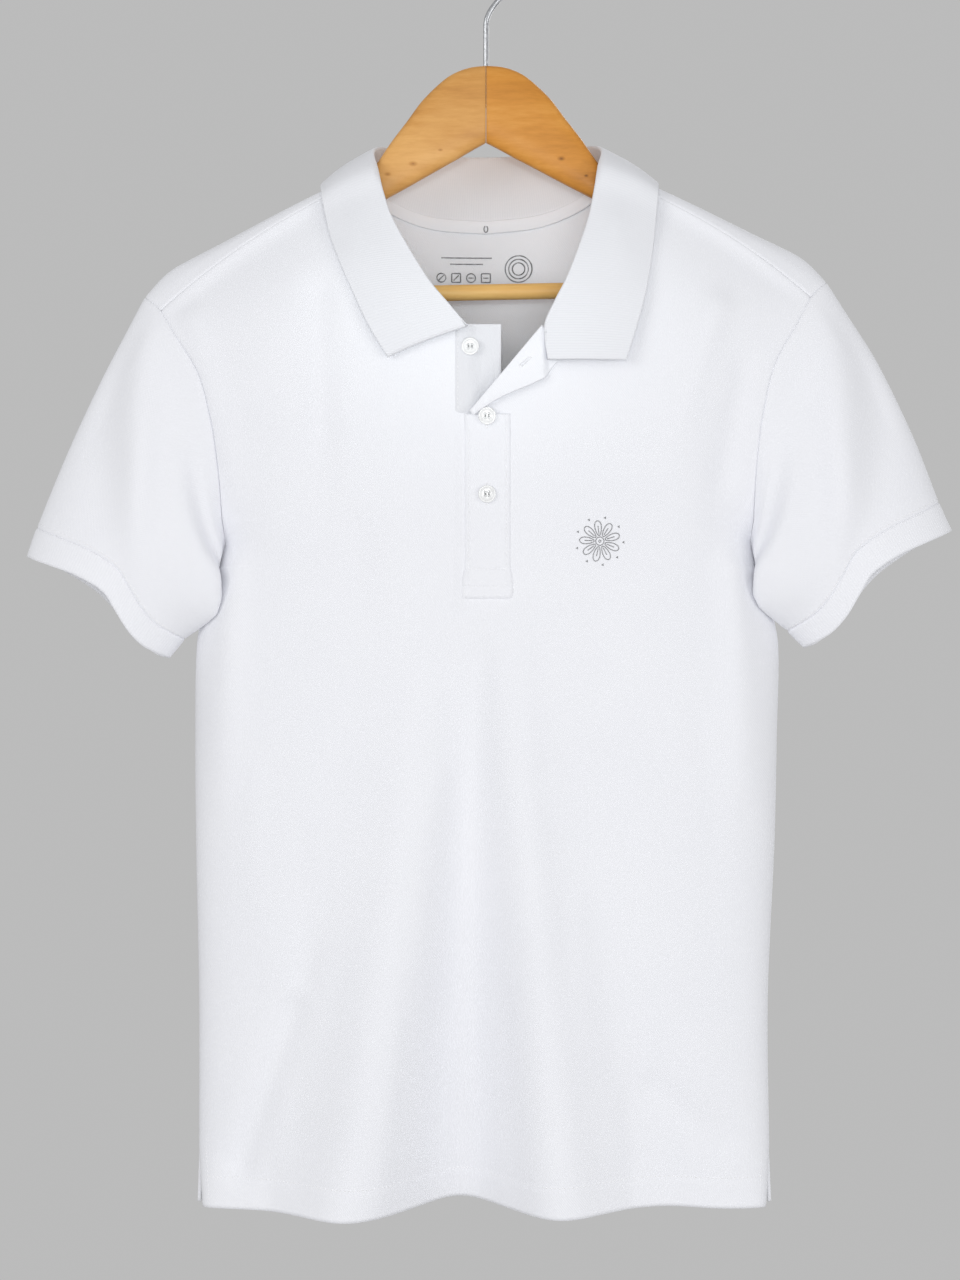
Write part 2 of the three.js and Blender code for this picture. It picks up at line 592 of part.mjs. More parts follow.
function backPanel() {
  const sheet = new Sheet(clothWall);
  const neck = backNeckline();
  const half = shoulderColumns + halfBackNeckColumns;
  const rows = bodyHeights().map((height, row) => {
    const line = [];
    for (let column = -half; column <= half; column += 1) {
      const point = bodyPoint(column / half, height, row, backDepth, backFolds);
      line.push(sheet.add(point, row < 2 ? hemWall : clothWall));
    }
    return line;
  });
  const under = rows[rows.length - 1].map((index) => sheet.points[index]);
  const top = [...shoulderSeam(-1), ...neck.slice(1, -1), ...shoulderSeam(1).reverse()];
  const last = top.length - 1;
  const wrapRows = ringHalf - cornerStep;
  for (let row = 1; row <= ringHalf + wrapRows; row += 1) {
    const line = top.map((end, column) => {
      const edge = Math.min(column, last - column);
      const side = column < half ? -1 : 1;
      const rings = side < 0 ? sleeveLeft : sleeveRight;
      const ringStep = 2 * ringHalf - row;
      if (edge === 0) {
        return ringPoint(rings, 0, ringStep);
      }
      if (row === ringHalf + wrapRows) {
        return end.clone();
      }
      const onRidge = edge > shoulderColumns ? 0 : 1;
      const besideArm = onRidge ? 1 : Math.exp(-(end.y + 2) / 12);
      const outward = blend(13.7, 4, Math.min(edge / shoulderColumns, 1));
      const ridgeX = end.x + side * outward;
      const ridge = new THREE.Vector3(ridgeX, edge === shoulderColumns ? 3 : 1, ridgeHeight(ridgeX));
      const plain = new THREE.Vector3(end.x * 1.02, Math.max(end.y - 1, 0), end.z - 30);
      plain.y += 12.5 * besideArm;
      plain.z += 20 * besideArm;
      const crest = onRidge ? ridge : plain;
      const brow = crest.clone();
      brow.y += 8.2 * onRidge;
      brow.z -= 5.5 * onRidge;
      const near = Math.max(1 - edge / 7, 0) ** 2;
      if (row === ringHalf) {
        return crest;
      }
      if (row > ringHalf) {
        const part = (row - ringHalf) / wrapRows;
        const point = mixPoints(crest, end, part);
        point.z += (onRidge ? 2.6 : 3.4) * besideArm;
        point.y += (onRidge ? -1.4 : 2.4) * besideArm;
        return point;
      }
      const start = under[column];
      const even = row / (ringHalf - onRidge);
      const ringed = (1 - Math.cos((Math.PI * row) / ringHalf)) / 2;
      const part = blend(even, ringed, near);
      const rest = mixPoints(start, brow, part);
      rest.x = blend(start.x, brow.x, part ** 1.4);
      rest.y = blend(start.y, brow.y, part ** blend(1.6, 4.5, onRidge));
      rest.y += foldRise(backFolds, rest.x, rest.z) * (1 - part) * part;
      const baseStart = under[side < 0 ? 0 : last];
      const baseEnd = ringPoint(rings, 0, ringHalf);
      const base = mixPoints(baseStart, baseEnd, ringed);
      base.x = blend(baseStart.x, baseEnd.x, ringed ** 1.4);
      base.y = blend(baseStart.y, baseEnd.y, ringed ** 4.5);
      const real = ringPoint(rings, 0, ringStep);
      return rest.addScaledVector(real.sub(base), near);
    });
    rows.push(line.map((point) => sheet.add(point)));
  }
  sheet.net(rows, true);
  return sheet;
}

// A sleeve or cuff: rings between two places along the sleeve
function sleevePart(side, wall, places) {
  const rings = side < 0 ? sleeveLeft : sleeveRight;
  const sheet = new Sheet(wall);
  const rows = places.map((along) => {
    const line = [];
    for (let step = 0; step < 2 * ringHalf; step += 1) {
      line.push(sheet.add(ringPoint(rings, along, step)));
    }
    return line;
  });
  sheet.net(rows, side > 0, true);
  return sheet;
}

// The collar's section: up from the neckline, over the roll and down to the leaf's edge
function collarSection(seam, roll, edge, flat) {
  const away = new THREE.Vector3(edge.x - roll.x, edge.y - roll.y, 0).normalize();
  const points = [];
  for (let step = 0; step < standSteps; step += 1) {
    points.push(mixPoints(seam, roll, step / standSteps));
  }
  const spread = rollSpread * flat;
  points.push(roll.clone().addScaledVector(away, spread * 0.15));
  const start = roll.clone().addScaledVector(away, spread);
  start.z -= spread * 0.25;
  const length = start.distanceTo(edge);
  for (let step = 0; step <= fallSteps; step += 1) {
    const part = step / fallSteps;
    const point = mixPoints(start, edge, part);
    const arch = Math.sin(Math.PI * part) * length * 0.05 * flat;
    point.addScaledVector(away, arch);
    point.z += arch * 0.6;
    points.push(point);
  }
  return points;
}

function necklineLoop() {
  const left = frontNeckline(neckLeft).reverse();
  const back = backNeckline().slice(1, -1);
  const right = frontNeckline(neckRight);
  const seam = lapelSeamEnd;
  const loop = [...left, ...back, ...right];
  const last = loop[loop.length - 1];
  const end = new THREE.Vector3(seam.x, last.y - lapelLift, seam.z);
  const turned = last.clone();
  turned.y -= 0.75 * lapelLift;
  loop[loop.length - 1] = turned;
  loop.push(mixPoints(turned, end, 0.5), end);
  return loop;
}

// Lifts a point of the leaf clear of the front and of the cloth over the hanger's shoulder
function restOnShirt(point, onFront) {
  if (onFront) {
    point.y = Math.min(point.y, frontDepth(point.x, point.z) - leafRest);
  }
  const nearRidge = Math.abs(point.x) > 82 && point.y > -19 && point.y < 12;
  if (nearRidge) {
    const drop = 8 * ((point.y - 1) / 16) ** 2;
    point.z = Math.max(point.z, ridgeHeight(point.x) - drop + leafRest);
  }
  return point;
}

function collar() {
  const sheet = new Sheet(collarWall);
  const loop = necklineLoop();
  const rows = loop.map((seam, step) => {
    const table = step <= 11 ? collarLeft : collarRight;
    const row = (column) => valueAt(table, 'step', step, column);
    const roll = new THREE.Vector3(row('rollX'), row('rollY'), row('rollZ'));
    const edge = new THREE.Vector3(row('edgeX'), row('edgeY'), row('edgeZ'));
    const onFront = step < 7 || step > 15;
    restOnShirt(edge, onFront);
    const lapel = THREE.MathUtils.clamp((24 - step) / 3, 0.25, 1);
    const opened = THREE.MathUtils.clamp((step + 1) / 3, 0.4, 1);
    const section = collarSection(seam, roll, edge, lapel * opened);
    return section.map((point, index) => {
      const fall = index > standSteps;
      return sheet.add(fall ? restOnShirt(point, onFront) : point);
    });
  });
  sheet.net(rows);
  return sheet;
}

// A strip that lies on the front panel between two heights, moved outwards
function frontStrip(left, right, bottom, top, lift, wall, columns, rowsCount) {
  const sheet = new Sheet(wall);
  const rows = [];
  for (let row = 0; row <= rowsCount; row += 1) {
    const z = blend(bottom, top, row / rowsCount);
    const line = [];
    for (let column = 0; column <= columns; column += 1) {
      const x = blend(left, right, column / columns);
      line.push(sheet.add(new THREE.Vector3(x, frontDepth(x, z) - lift, z)));
    }
    rows.push(line);
  }
  sheet.net(rows);
  return sheet;
}

// Turns a sheet into a closed wall. Points that several sheets share have one normal, and
// each sheet steps back from its edge by half the seam's gap.
function keyOf(point) {
  return [point.x, point.y, point.z].map((value) => Math.round(value * 1000)).join(',');
}

function sharedNormals(sheets) {
  const normals = new Map();
  for (const sheet of sheets) {
    for (const face of sheet.faces) {
      const [a, b, c] = face.map((index) => sheet.points[index]);
      const normal = new THREE.Vector3().subVectors(b, a).cross(new THREE.Vector3().subVectors(c, a));
      normal.normalize();
      for (const [here, next, previous] of [[a, b, c], [b, c, a], [c, a, b]]) {
        const toNext = new THREE.Vector3().subVectors(next, here);
        const toPrevious = new THREE.Vector3().subVectors(previous, here);
        const key = keyOf(here);
        const sum = normals.get(key) ?? new THREE.Vector3();
        normals.set(key, sum.addScaledVector(normal, toNext.angleTo(toPrevious)));
      }
    }
  }
  for (const normal of normals.values()) {
    normal.normalize();
  }
  return normals;
}

function edgeLinks(sheet) {
  const after = new Map();
  const edges = new Map();
  for (const [a, b, c] of sheet.faces) {
    for (const [from, to] of [[a, b], [b, c], [c, a]]) {
      edges.set(`${from},${to}`, [from, to]);
    }
  }
  for (const [from, to] of edges.values()) {
    if (!edges.has(`${to},${from}`)) {
      after.set(from, to);
    }
  }
  return after;
}

function wallGeometry(sheet, normals) {
  const count = sheet.points.length;
  const normalOf = sheet.points.map((point) => normals.get(keyOf(point)));
  const after = edgeLinks(sheet);
  const inward = new Map();
  for (const [from, to] of after) {
    for (const index of [from, to]) {
      const along = new THREE.Vector3().subVectors(sheet.points[to], sheet.points[from]);
      const step = new THREE.Vector3().crossVectors(normalOf[index], along).normalize();
      inward.set(index, [...(inward.get(index) ?? []), step]);
    }
  }
  const vertices = new Float32Array(count * 6);
  sheet.points.forEach((point, index) => {
    const place = point.clone();
    const steps = inward.get(index);
    if (steps) {
      const spread = Math.max(1 + steps[0].dot(steps[1]), 0.4);
      place.addScaledVector(steps[0].clone().add(steps[1]), seamGap / 2 / spread);
    }
    const half = sheet.walls[index] / 2;
    place.clone().addScaledVector(normalOf[index], half).toArray(vertices, index * 3);
    place.clone().addScaledVector(normalOf[index], -half).toArray(vertices, (count + index) * 3);
  });
  const triangles = [];
  for (const [a, b, c] of sheet.faces) {
    triangles.push(a, b, c, count + c, count + b, count + a);
  }
  for (const [from, to] of after) {
    triangles.push(from, count + from, to, to, count + from, count + to);
  }
  const geometry = new THREE.BufferGeometry();
  geometry.setAttribute('position', new THREE.BufferAttribute(vertices, 3));
  geometry.setIndex(triangles);
  return geometry;
}

function toSolid(geometry) {
  const bare = geometry.clone();
  bare.deleteAttribute('normal');
  bare.deleteAttribute('uv');
  const merged = mergeVertices(bare, 1e-4);
  return new wasm.Manifold(new wasm.Mesh({
    numProp: 3,
    vertProperties: new Float32Array(merged.attributes.position.array),
    triVerts: new Uint32Array(merged.index.array),
  }));
}

function fromSolid(solid) {
  const mesh = solid.getMesh();
  const geometry = new THREE.BufferGeometry();
  geometry.setAttribute('position', new THREE.BufferAttribute(new Float32Array(mesh.vertProperties), 3));
  geometry.setIndex(Array.from(mesh.triVerts));
  return geometry;
}

// The turned-back corner: a small leaf between the fold line, its free edge and the collar
function placketLapel() {
  const sheet = new Sheet(bandWall);
  const rows = [];
  const steps = 6;
  const columns = 4;
  for (let row = 0; row <= steps; row += 1) {
    const part = row / steps;
    const foldX = blend(lapelFoot.x, lapelTop.x - 2, part);
    const foldZ = blend(lapelFoot.z + 2.4, lapelTop.z, part);
    const edgePart = Math.min(part * 1.35, 1);
    const endPart = Math.max((part * 1.35 - 1) / 0.35, 0);
    const freeX = blend(blend(lapelFoot.x + 2, lapelCorner.x, edgePart), lapelSeamEnd.x - 1.6, endPart);
    const rise = 4 * Math.sin(Math.PI * edgePart) * (1 - edgePart);
    const freeZ = blend(blend(lapelFoot.z, lapelCorner.z, edgePart) + rise, lapelSeamEnd.z, endPart);
    const line = [];
    for (let column = 0; column <= columns; column += 1) {
      const over = column / columns;
      const x = blend(foldX, freeX, over);
      const z = blend(foldZ, freeZ, over);
      const puff = lapelLift * Math.sin(Math.PI * (0.25 + 0.6 * over)) * (0.5 + 0.5 * part);
      const lift = clothWall + 2 * seamGap + bandWall + puff;
      line.push(sheet.add(new THREE.Vector3(x, frontDepth(x, z) - lift, z)));
    }
    rows.push(line);
  }
  sheet.net(rows);
  return sheet;
}

// The tape inside the back neck, just under the collar's seam
function neckTape() {
  const sheet = new Sheet(tapeWall);
  const neck = backNeckline();
  const rows = [0, 1].map((row) => neck.slice(3, -3).map((point) => {
    const inward = new THREE.Vector3(-point.x, -point.y - 60, 0).normalize();
    const place = point.clone().addScaledVector(inward, tapeSeat + row * tapeLean);
    place.z -= 2 + row * tapeWidth;
    return sheet.add(place);
  }));
  sheet.net(rows, false);
  return sheet;
}

// A shirt button with a rim, a dished face and four holes, its face towards -Y
function button(x, z, lift) {
  const rim = buttonRadius;
  const profile = [
    new THREE.Vector2(0, 0),
    new THREE.Vector2(rim * 0.8, 0),
    new THREE.Vector2(rim, buttonThick * 0.4),
    new THREE.Vector2(rim * 0.96, buttonThick * 0.8),
    new THREE.Vector2(rim * 0.86, buttonThick),
    new THREE.Vector2(rim * 0.66, buttonThick * 0.72),
    new THREE.Vector2(0, buttonThick * 0.66),
  ];
  let solid = toSolid(new THREE.LatheGeometry(profile, 20));
  for (let hole = 0; hole < 4; hole += 1) {
    const angle = Math.PI / 4 + (hole * Math.PI) / 2;
    const cutter = new THREE.CylinderGeometry(buttonHoleRadius, buttonHoleRadius, buttonThick * 3, 8);
    cutter.translate(buttonHoleReach * Math.cos(angle), 0, buttonHoleReach * Math.sin(angle));
    solid = solid.subtract(toSolid(cutter));
  }
  const geometry = fromSolid(solid);
  geometry.rotateX(Math.PI);
  const slope = (frontDepth(x, z + 4) - frontDepth(x, z - 4)) / 8;
  const turn = (frontDepth(x + 4, z) - frontDepth(x - 4, z)) / 8;
  geometry.rotateZ(Math.atan(turn));
  geometry.rotateX(-Math.atan(slope));
  geometry.translate(x, frontDepth(x, z) - lift, z);
  return geometry;
}

// One hanger arm: rounded sections from the centre joint to the tip
function armGeometry(side) {
  const points = [];
  const triangles = [];
  armSections.forEach((section) => {
    const x = side * section.reach;
    const shift = hangerTilt * x;
    const middle = (section.top + section.bottom) / 2 + shift;
    const halfHeight = (section.top - section.bottom) / 2;
    for (let step = 0; step < armSides; step += 1) {
      const angle = ((step + 0.5) * 2 * Math.PI) / armSides;
      const over = Math.sign(Math.cos(angle)) * Math.abs(Math.cos(angle)) ** armSquareness;
      const up = Math.sign(Math.sin(angle)) * Math.abs(Math.sin(angle)) ** armSquareness;
      points.push(x, (over * armThick * section.thick) / 2, middle + up * halfHeight);
    }
  });
  const count = armSections.length;
  for (let row = 0; row < count - 1; row += 1) {
    for (let step = 0; step < armSides; step += 1) {
      const next = (step + 1) % armSides;
      const [a, b] = [row * armSides + step, row * armSides + next];
      const [c, d] = [a + armSides, b + armSides];
      triangles.push(a, b, c, b, d, c);
    }
  }
  for (let step = 1; step < armSides - 1; step += 1) {
    triangles.push(0, step + 1, step);
    const base = (count - 1) * armSides;
    triangles.push(base, base + step, base + step + 1);
  }
  const geometry = new THREE.BufferGeometry();
  geometry.setAttribute('position', new THREE.BufferAttribute(new Float32Array(points), 3));
  geometry.setIndex(side > 0 ? triangles : triangles.slice().reverse());
  return geometry;
}

function barGeometry(radius, reach) {
  const geometry = new THREE.CylinderGeometry(radius, radius, 2 * reach, 20);
  geometry.rotateZ(-Math.PI / 2);
  geometry.rotateY(-Math.atan(hangerTilt));
  geometry.translate(0, 0, barHeight);
  return geometry;
}

function shankHole() {
  const geometry = new THREE.CylinderGeometry(hookWire + seamGap, hookWire + seamGap, 60, 16);
  geometry.rotateX(Math.PI / 2);
  geometry.translate(0, 0, shankBottom + 30 - seamGap);
  return geometry;
}

function hangerArm(side) {
  const arm = toSolid(armGeometry(side));
  const bored = arm.subtract(toSolid(barGeometry(barRadius + seamGap, barReach + 1)));
  return fromSolid(bored.subtract(toSolid(shankHole())));
}

// The hook's centre line: a straight shank, a short lean and a round crook open at the left
class HookLine extends THREE.Curve {
  constructor() {
    super();
    this.centre = new THREE.Vector2(-0.5, -hookRadius - hookWire);
    this.startAngle = -0.78;
    this.endAngle = 3.75;
    this.bendTop = new THREE.Vector2(
      this.centre.x + hookRadius * Math.cos(this.startAngle),
      this.centre.y + hookRadius * Math.sin(this.startAngle),
    );
  }

  getPoint(part, target = new THREE.Vector3()) {
    const shankPart = 0.3;
    const leanPart = 0.42;
    const shankTop = -66;
    if (part < shankPart) {
      return target.set(0, 0, blend(shankBottom, shankTop, part / shankPart));
    }
    if (part < leanPart) {
      const over = (part - shankPart) / (leanPart - shankPart);
      const rest = 1 - over;
      const bend = this.bendTop;
      const controlX = bend.x - 9;
      const controlZ = bend.y - 9;
      const x = 3 * rest * over * over * controlX + over ** 3 * bend.x;
      const z = rest ** 3 * shankTop + 3 * rest * rest * over * (shankTop + 9)
        + 3 * rest * over * over * controlZ + over ** 3 * bend.y;
      return target.set(x, 0, z);
    }
    const angle = blend(this.startAngle, this.endAngle, (part - leanPart) / (1 - leanPart));
    return target.set(
      this.centre.x + hookRadius * Math.cos(angle),
      0,
      this.centre.y + hookRadius * Math.sin(angle),
    );
  }
}

function hook() {
  const section = new THREE.Shape();
  section.absarc(0, 0, hookWire, 0, 2 * Math.PI);
  return new THREE.ExtrudeGeometry(section, {
    steps: 64, curveSegments: 5, bevelEnabled: false, extrudePath: new HookLine(),
  });
}

const cloth = material(clothColour, 0.9, 0);
const wood = material(woodColour, 0.5, 0);
const paleWood = material(barColour, 0.55, 0);
const steel = material(steelColour, 0.25, 1);
const plastic = material(buttonColour, 0.35, 0);

const sewn = {
  front_panel: frontPanel(),
  back_panel: backPanel(),
  sleeve_left: sleevePart(-1, clothWall, [0, 0.18, 0.36, 0.52, 0.68, 0.84, 1]),
  sleeve_right: sleevePart(1, clothWall, [0, 0.18, 0.36, 0.52, 0.68, 0.84, 1]),
  cuff_left: sleevePart(-1, cuffWall, [1, 1.1, 1.2]),
  cuff_right: sleevePart(1, cuffWall, [1, 1.1, 1.2]),
  collar: collar(),
};
const overlapLift = clothWall / 2 + bandWall / 2 + 2 * seamGap;
const laid = {
  placket_overlap: frontStrip(
    placketLeft, placketLeft + placketWidth, placketBottom, slitHeight + 1, overlapLift, bandWall, 4, 12,
  ),
  placket_lapel: placketLapel(),
  placket_underlap: frontStrip(
    underlapLeft, underlapRight, underlapBottom, neckHeight + 1, -overlapLift, bandWall, 4, 9,
  ),
  neck_tape: neckTape(),
};

const model = new THREE.Group();

function place(name, geometry, finish) {
  const mesh = new THREE.Mesh(geometry, finish.clone());
  mesh.name = name;
  model.add(mesh);
}

const sewnNormals = sharedNormals(Object.values(sewn));
for (const [name, sheet] of Object.entries(sewn)) {
  place(name, wallGeometry(sheet, sewnNormals), cloth);
}
for (const [name, sheet] of Object.entries(laid)) {
  place(name, wallGeometry(sheet, sharedNormals([sheet])), cloth);
}
const onBand = clothWall / 2 + bandWall + 3 * seamGap;
const onUnderlap = -(clothWall / 2) - 0.1;
place('button_top', button(-10.3, -282, onUnderlap), plastic);
place('button_middle', button(0.6, -327, onBand), plastic);
place('button_low', button(0.6, -377.3, onBand), plastic);
place('hanger_arm_left', hangerArm(-1), wood);
place('hanger_arm_right', hangerArm(1), wood);
place('hanger_bar', barGeometry(barRadius, barReach), paleWood);
place('hanger_hook', hook(), steel);

export default model;
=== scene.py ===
import math
import bpy
import numpy as np
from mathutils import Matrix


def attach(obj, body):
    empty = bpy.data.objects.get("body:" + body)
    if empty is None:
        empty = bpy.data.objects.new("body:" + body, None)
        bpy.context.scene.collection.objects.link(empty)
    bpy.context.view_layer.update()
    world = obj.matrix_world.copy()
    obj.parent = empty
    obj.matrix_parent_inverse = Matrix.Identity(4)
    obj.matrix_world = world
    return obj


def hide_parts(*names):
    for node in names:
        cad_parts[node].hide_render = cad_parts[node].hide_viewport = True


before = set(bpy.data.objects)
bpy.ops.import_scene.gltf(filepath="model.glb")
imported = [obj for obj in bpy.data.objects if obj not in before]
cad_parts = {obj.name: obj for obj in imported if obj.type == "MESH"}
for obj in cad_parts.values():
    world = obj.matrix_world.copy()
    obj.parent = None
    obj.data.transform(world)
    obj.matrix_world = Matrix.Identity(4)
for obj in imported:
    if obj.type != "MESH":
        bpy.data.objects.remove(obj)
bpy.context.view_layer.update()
mm = 0.001
print("frame loaded")

# Form of the hanging shirt, in millimetres, as the solids have it
body = {
    "hem": -844, "vent": -806, "hemDepth": 20, "hemLift": 0.19, "hemFade": 130,
    "underarm": -425, "slit": -326.5, "neck": -268.5,
    "shoulderColumns": 8, "frontNeckColumns": 6, "backNeckColumns": 5,
    "ringHalf": 12, "cornerStep": 10, "slitRow": 6,
    "seamDepth": -15, "seamNeckReach": 85, "seamTipReach": 211,
    "seamNeckHeight": -172.6, "seamTipHeight": -261.8, "seamBow": 8, "seamFade": 45,
    "sectionPower": 2.6, "tilt": 0.0198,
    "wall": 1.25,        # thickness of the piqué
    "fine": 6,           # grid steps for each column of the pattern
}
# height, left side, right side, side depth, how far the front and the back stand out
bodySections = [
    (-850, -189.5, 187.5, 6, 26, 34), (-806, -189.5, 187, 6, 29, 35), (-709, -189.4, 186, 6, 37, 36),
    (-603, -191.4, 190.5, 6, 43, 36), (-535, -192, 192, 7, 46, 36), (-475, -191, 193, 8, 47, 34),
    (-450, -186.5, 188.5, 8, 47, 33), (-425, -181, 184, 8, 47, 31), (-352, -208, 208, 4, 48, 32),
    (-255, -245, 245, 0, 50, 40), (-150, -262, 262, 0, 50, 46)]
# reach from the middle and height of the hanger's ridge
ridgeLine = [(60, -151), (84, -163.4), (108, -175.2), (130, -185.2), (152, -196), (180, -210),
             (207, -223.6), (217, -232.5), (226, -242)]
# folds: from x, from z, to x, to z, bow, rise, rise at the end, half width, half width at the end
frontFolds = [
    (-44, -480, -96, -860, -8, 0, -24, 22, 34), (-10, -490, -17, -860, 0, 3, 31, 15, 31),
    (9, -460, 50, -860, -3, -2, -18, 16, 29), (62, -560, 120, -860, 0, 2, 9, 22, 30),
    (-126, -712, -161, -815, 0, 4, 7, 9, 11), (111, -764, 153, -800, 0, 4, 6, 9, 11),
    (-109, -250, -108, -330, 0, 4, 5, 11, 13), (-192, -262, -172, -343, 0, -3, -4, 9, 12),
    (150, -255, 129, -315, 0, -4, -3, 10, 13), (168, -295, 156, -358, 0, 3, 5, 9, 12),
    (-167, -425, -177, -575, 0, -9, -3, 10, 16), (163, -425, 172, -565, 0, -9, -3, 10, 16)]
backFolds = [
    (-60, -470, -92, -860, 4, 0, 14, 24, 34), (-8, -440, -14, -860, 6, -2, -12, 18, 30),
    (42, -450, 66, -860, -4, 1, 16, 20, 30), (104, -520, 128, -860, 0, -1, -10, 18, 26),
    (-150, -300, -128, -400, 0, -3, -5, 12, 16), (150, -300, 128, -400, 0, -3, -5, 12, 16)]
# small creases laid on top of those; the same nine columns
frontCreases = [
    (-186, -336, -150, -300, 3, -1.0, -0.3, 4, 7), (-176, -372, -128, -352, 4, -1.1, -0.3, 4, 8),
    (-172, -398, -120, -400, -4, -0.9, -0.2, 5, 9), (178, -352, 140, -322, -3, -1.0, -0.3, 4, 8),
    (176, -392, 128, -380, -4, -1.1, -0.2, 5, 9), (-40, -470, -52, -640, 6, -0.9, -0.4, 6, 12),
    (-26, -455, -22, -560, 0, 0.9, 0.2, 4, 8), (24, -452, 34, -600, 0, -0.8, -0.3, 5, 10),
    (-150, -560, -132, -700, 8, -0.8, -0.4, 7, 12), (138, -520, 146, -690, -6, 0.9, 0.4, 7, 12),
    (60, -640, 84, -800, 5, -1.0, -0.8, 7, 12), (-120, -600, -128, -790, -4, 0.8, 0.9, 8, 12),
    (12, -700, 22, -850, 0, 0.7, 1.2, 6, 9), (-58, -720, -70, -850, 0, -0.8, -1.3, 6, 10),
    (92, -770, 96, -850, 0, 0.6, 1.2, 6, 8), (-140, -790, -142, -850, 0, 0.5, 1.1, 6, 8),
    (111, -764, 153, -800, 0, -2, -3.6, 9, 11), (-16, -338, -16.4, -452, 0, -1.3, -1.3, 2.2, 2.2),
    (16.4, -338, 16.6, -440, 0, -0.5, -0.5, 1.8, 1.8), (0, -450, 2, -470, 0, 0.9, 0.2, 14, 16),
    (-108, -345, -104, -440, 0, 3.0, 0.2, 13, 16), (127, -330, 118, -430, 3, -2.2, -0.2, 13, 16),
    (-170, -357, -160, -440, 0, -2.2, -0.2, 11, 14), (153, -372, 146, -450, 0, 2.4, 0.2, 11, 14),
    (-118, -690, -104, -600, 4, 2.2, 0.2, 9, 12), (-30, -560, -38, -700, 5, -1.6, -0.6, 9, 14),
    (78, -420, 92, -560, 6, 1.6, 0.6, 12, 18), (-84, -400, -96, -560, -6, 1.6, 0.8, 12, 18),
    (48, -330, 44, -450, 3, -1.2, -0.6, 12, 16), (-60, -320, -56, -440, 0, -1.2, -0.6, 12, 16),
    (0, -480, -2, -620, 4, 1.2, 0.6, 8, 12), (34, -560, 52, -720, -5, 1.4, 0.6, 10, 14)]
backCreases = [
    (-176, -372, -120, -345, 4, -1.1, -0.3, 5, 9), (176, -372, 122, -340, -4, -1.1, -0.3, 5, 9),
    (-30, -300, -44, -460, 6, -0.8, -0.4, 8, 14), (36, -290, 52, -470, -6, -0.9, -0.3, 8, 14),
    (-110, -520, -120, -700, 6, 0.9, 0.5, 8, 12), (132, -560, 140, -760, -5, 0.9, 0.6, 8, 12),
    (0, -640, 8, -850, 0, -0.8, -1.2, 7, 10), (-146, -760, -150, -850, 0, 0.6, 1.2, 6, 9)]
# steps of the front necklines: step, x, z; and of half the back neckline: step, x, y, z
neckLeft = [(0, -85, -170.2), (1, -80, -184), (2, -70, -204), (3, -56, -226), (4, -38, -246),
            (5, -28, -257.5), (6, -18.5, -267.5)]
neckRight = [(0, 88, -169), (1, 83, -184), (2, 74, -204), (3, 65, -223), (4, 56, -241),
             (5, 47, -256), (6, 38, -268.5)]
neckBack = [(0, 86, -15, -169.5), (1, 86.2, -2, -162.8), (2, 81, 13.5, -168), (3, 67, 28, -180),
            (4, 38, 40.5, -190.5), (5, 0, 45, -194)]


def tableAt(table, place):
    # Cubic through the rows: value and slope at the rows on either side, slopes from their neighbours
    rows = np.array(table, float)
    if rows[-1, 0] < rows[0, 0]:
        rows = rows[::-1]
    keys = rows[:, 0]
    at = np.clip(np.asarray(place, float), keys[0], keys[-1])
    low = np.clip(np.searchsorted(keys, at, side="right") - 1, 0, len(keys) - 2)
    high, before = low + 1, np.maximum(low - 1, 0)
    after = np.minimum(low + 2, len(keys) - 1)
    span = (keys[high] - keys[low])[..., None]
    part = (at - keys[low])[..., None] / span
    slopeLow = (rows[high] - rows[before]) / (keys[high] - keys[before])[..., None] * span
    slopeHigh = (rows[after] - rows[low]) / (keys[after] - keys[low])[..., None] * span
    square, cube = part ** 2, part ** 3
    out = ((2 * cube - 3 * square + 1) * rows[low] + (cube - 2 * square + part) * slopeLow
           + (3 * square - 2 * cube) * rows[high] + (cube - square) * slopeHigh)
    return np.moveaxis(out[..., 1:], -1, 0)


def blend(start, end, part):
    return start + (end - start) * part


def smooth(part):
    part = np.clip(part, 0, 1)
    return part * part * (3 - 2 * part)


def foldRise(folds, x, z):
    # Sum of bells: rise times exp(-(distance to the fold's line / half width) squared)
    total = np.zeros(np.broadcast(x, z).shape)
    for fromX, fromZ, toX, toZ, bow, rise, riseTo, wide, wideTo in folds:
        runX, runZ = toX - fromX, toZ - fromZ
        length = math.hypot(runX, runZ)
        part = np.clip(((x - fromX) * runX + (z - fromZ) * runZ) / length ** 2, 0, 1)
        lineX = fromX + runX * part + 4 * bow * part * (1 - part) * runZ / length
        lineZ = fromZ + runZ * part
        away = np.hypot(x - lineX, z - lineZ) / blend(wide, wideTo, part)
        total = total + blend(rise, riseTo, part) * np.exp(-away ** 2)
    return total


def acrossBody(x, z):
    left, right = tableAt(bodySections, z)[:2]
    return (x - (left + right) / 2) / ((right - left) / 2)


def sectionShape(across):
    filled = np.minimum(np.abs(across), 1) ** body["sectionPower"]
    return (1 - filled) ** (1 / body["sectionPower"])


def seamHeight(x):
    # Height of the shoulder seam: a straight fall from neck to tip with a small bow
    over = (np.abs(x) - body["seamNeckReach"]) / (body["seamTipReach"] - body["seamNeckReach"])
    part = np.clip(over, 0, 1)
    return (blend(body["seamNeckHeight"], body["seamTipHeight"], part)
            + body["seamBow"] * np.sin(np.pi * part ** 1.2) + body["tilt"] * x)


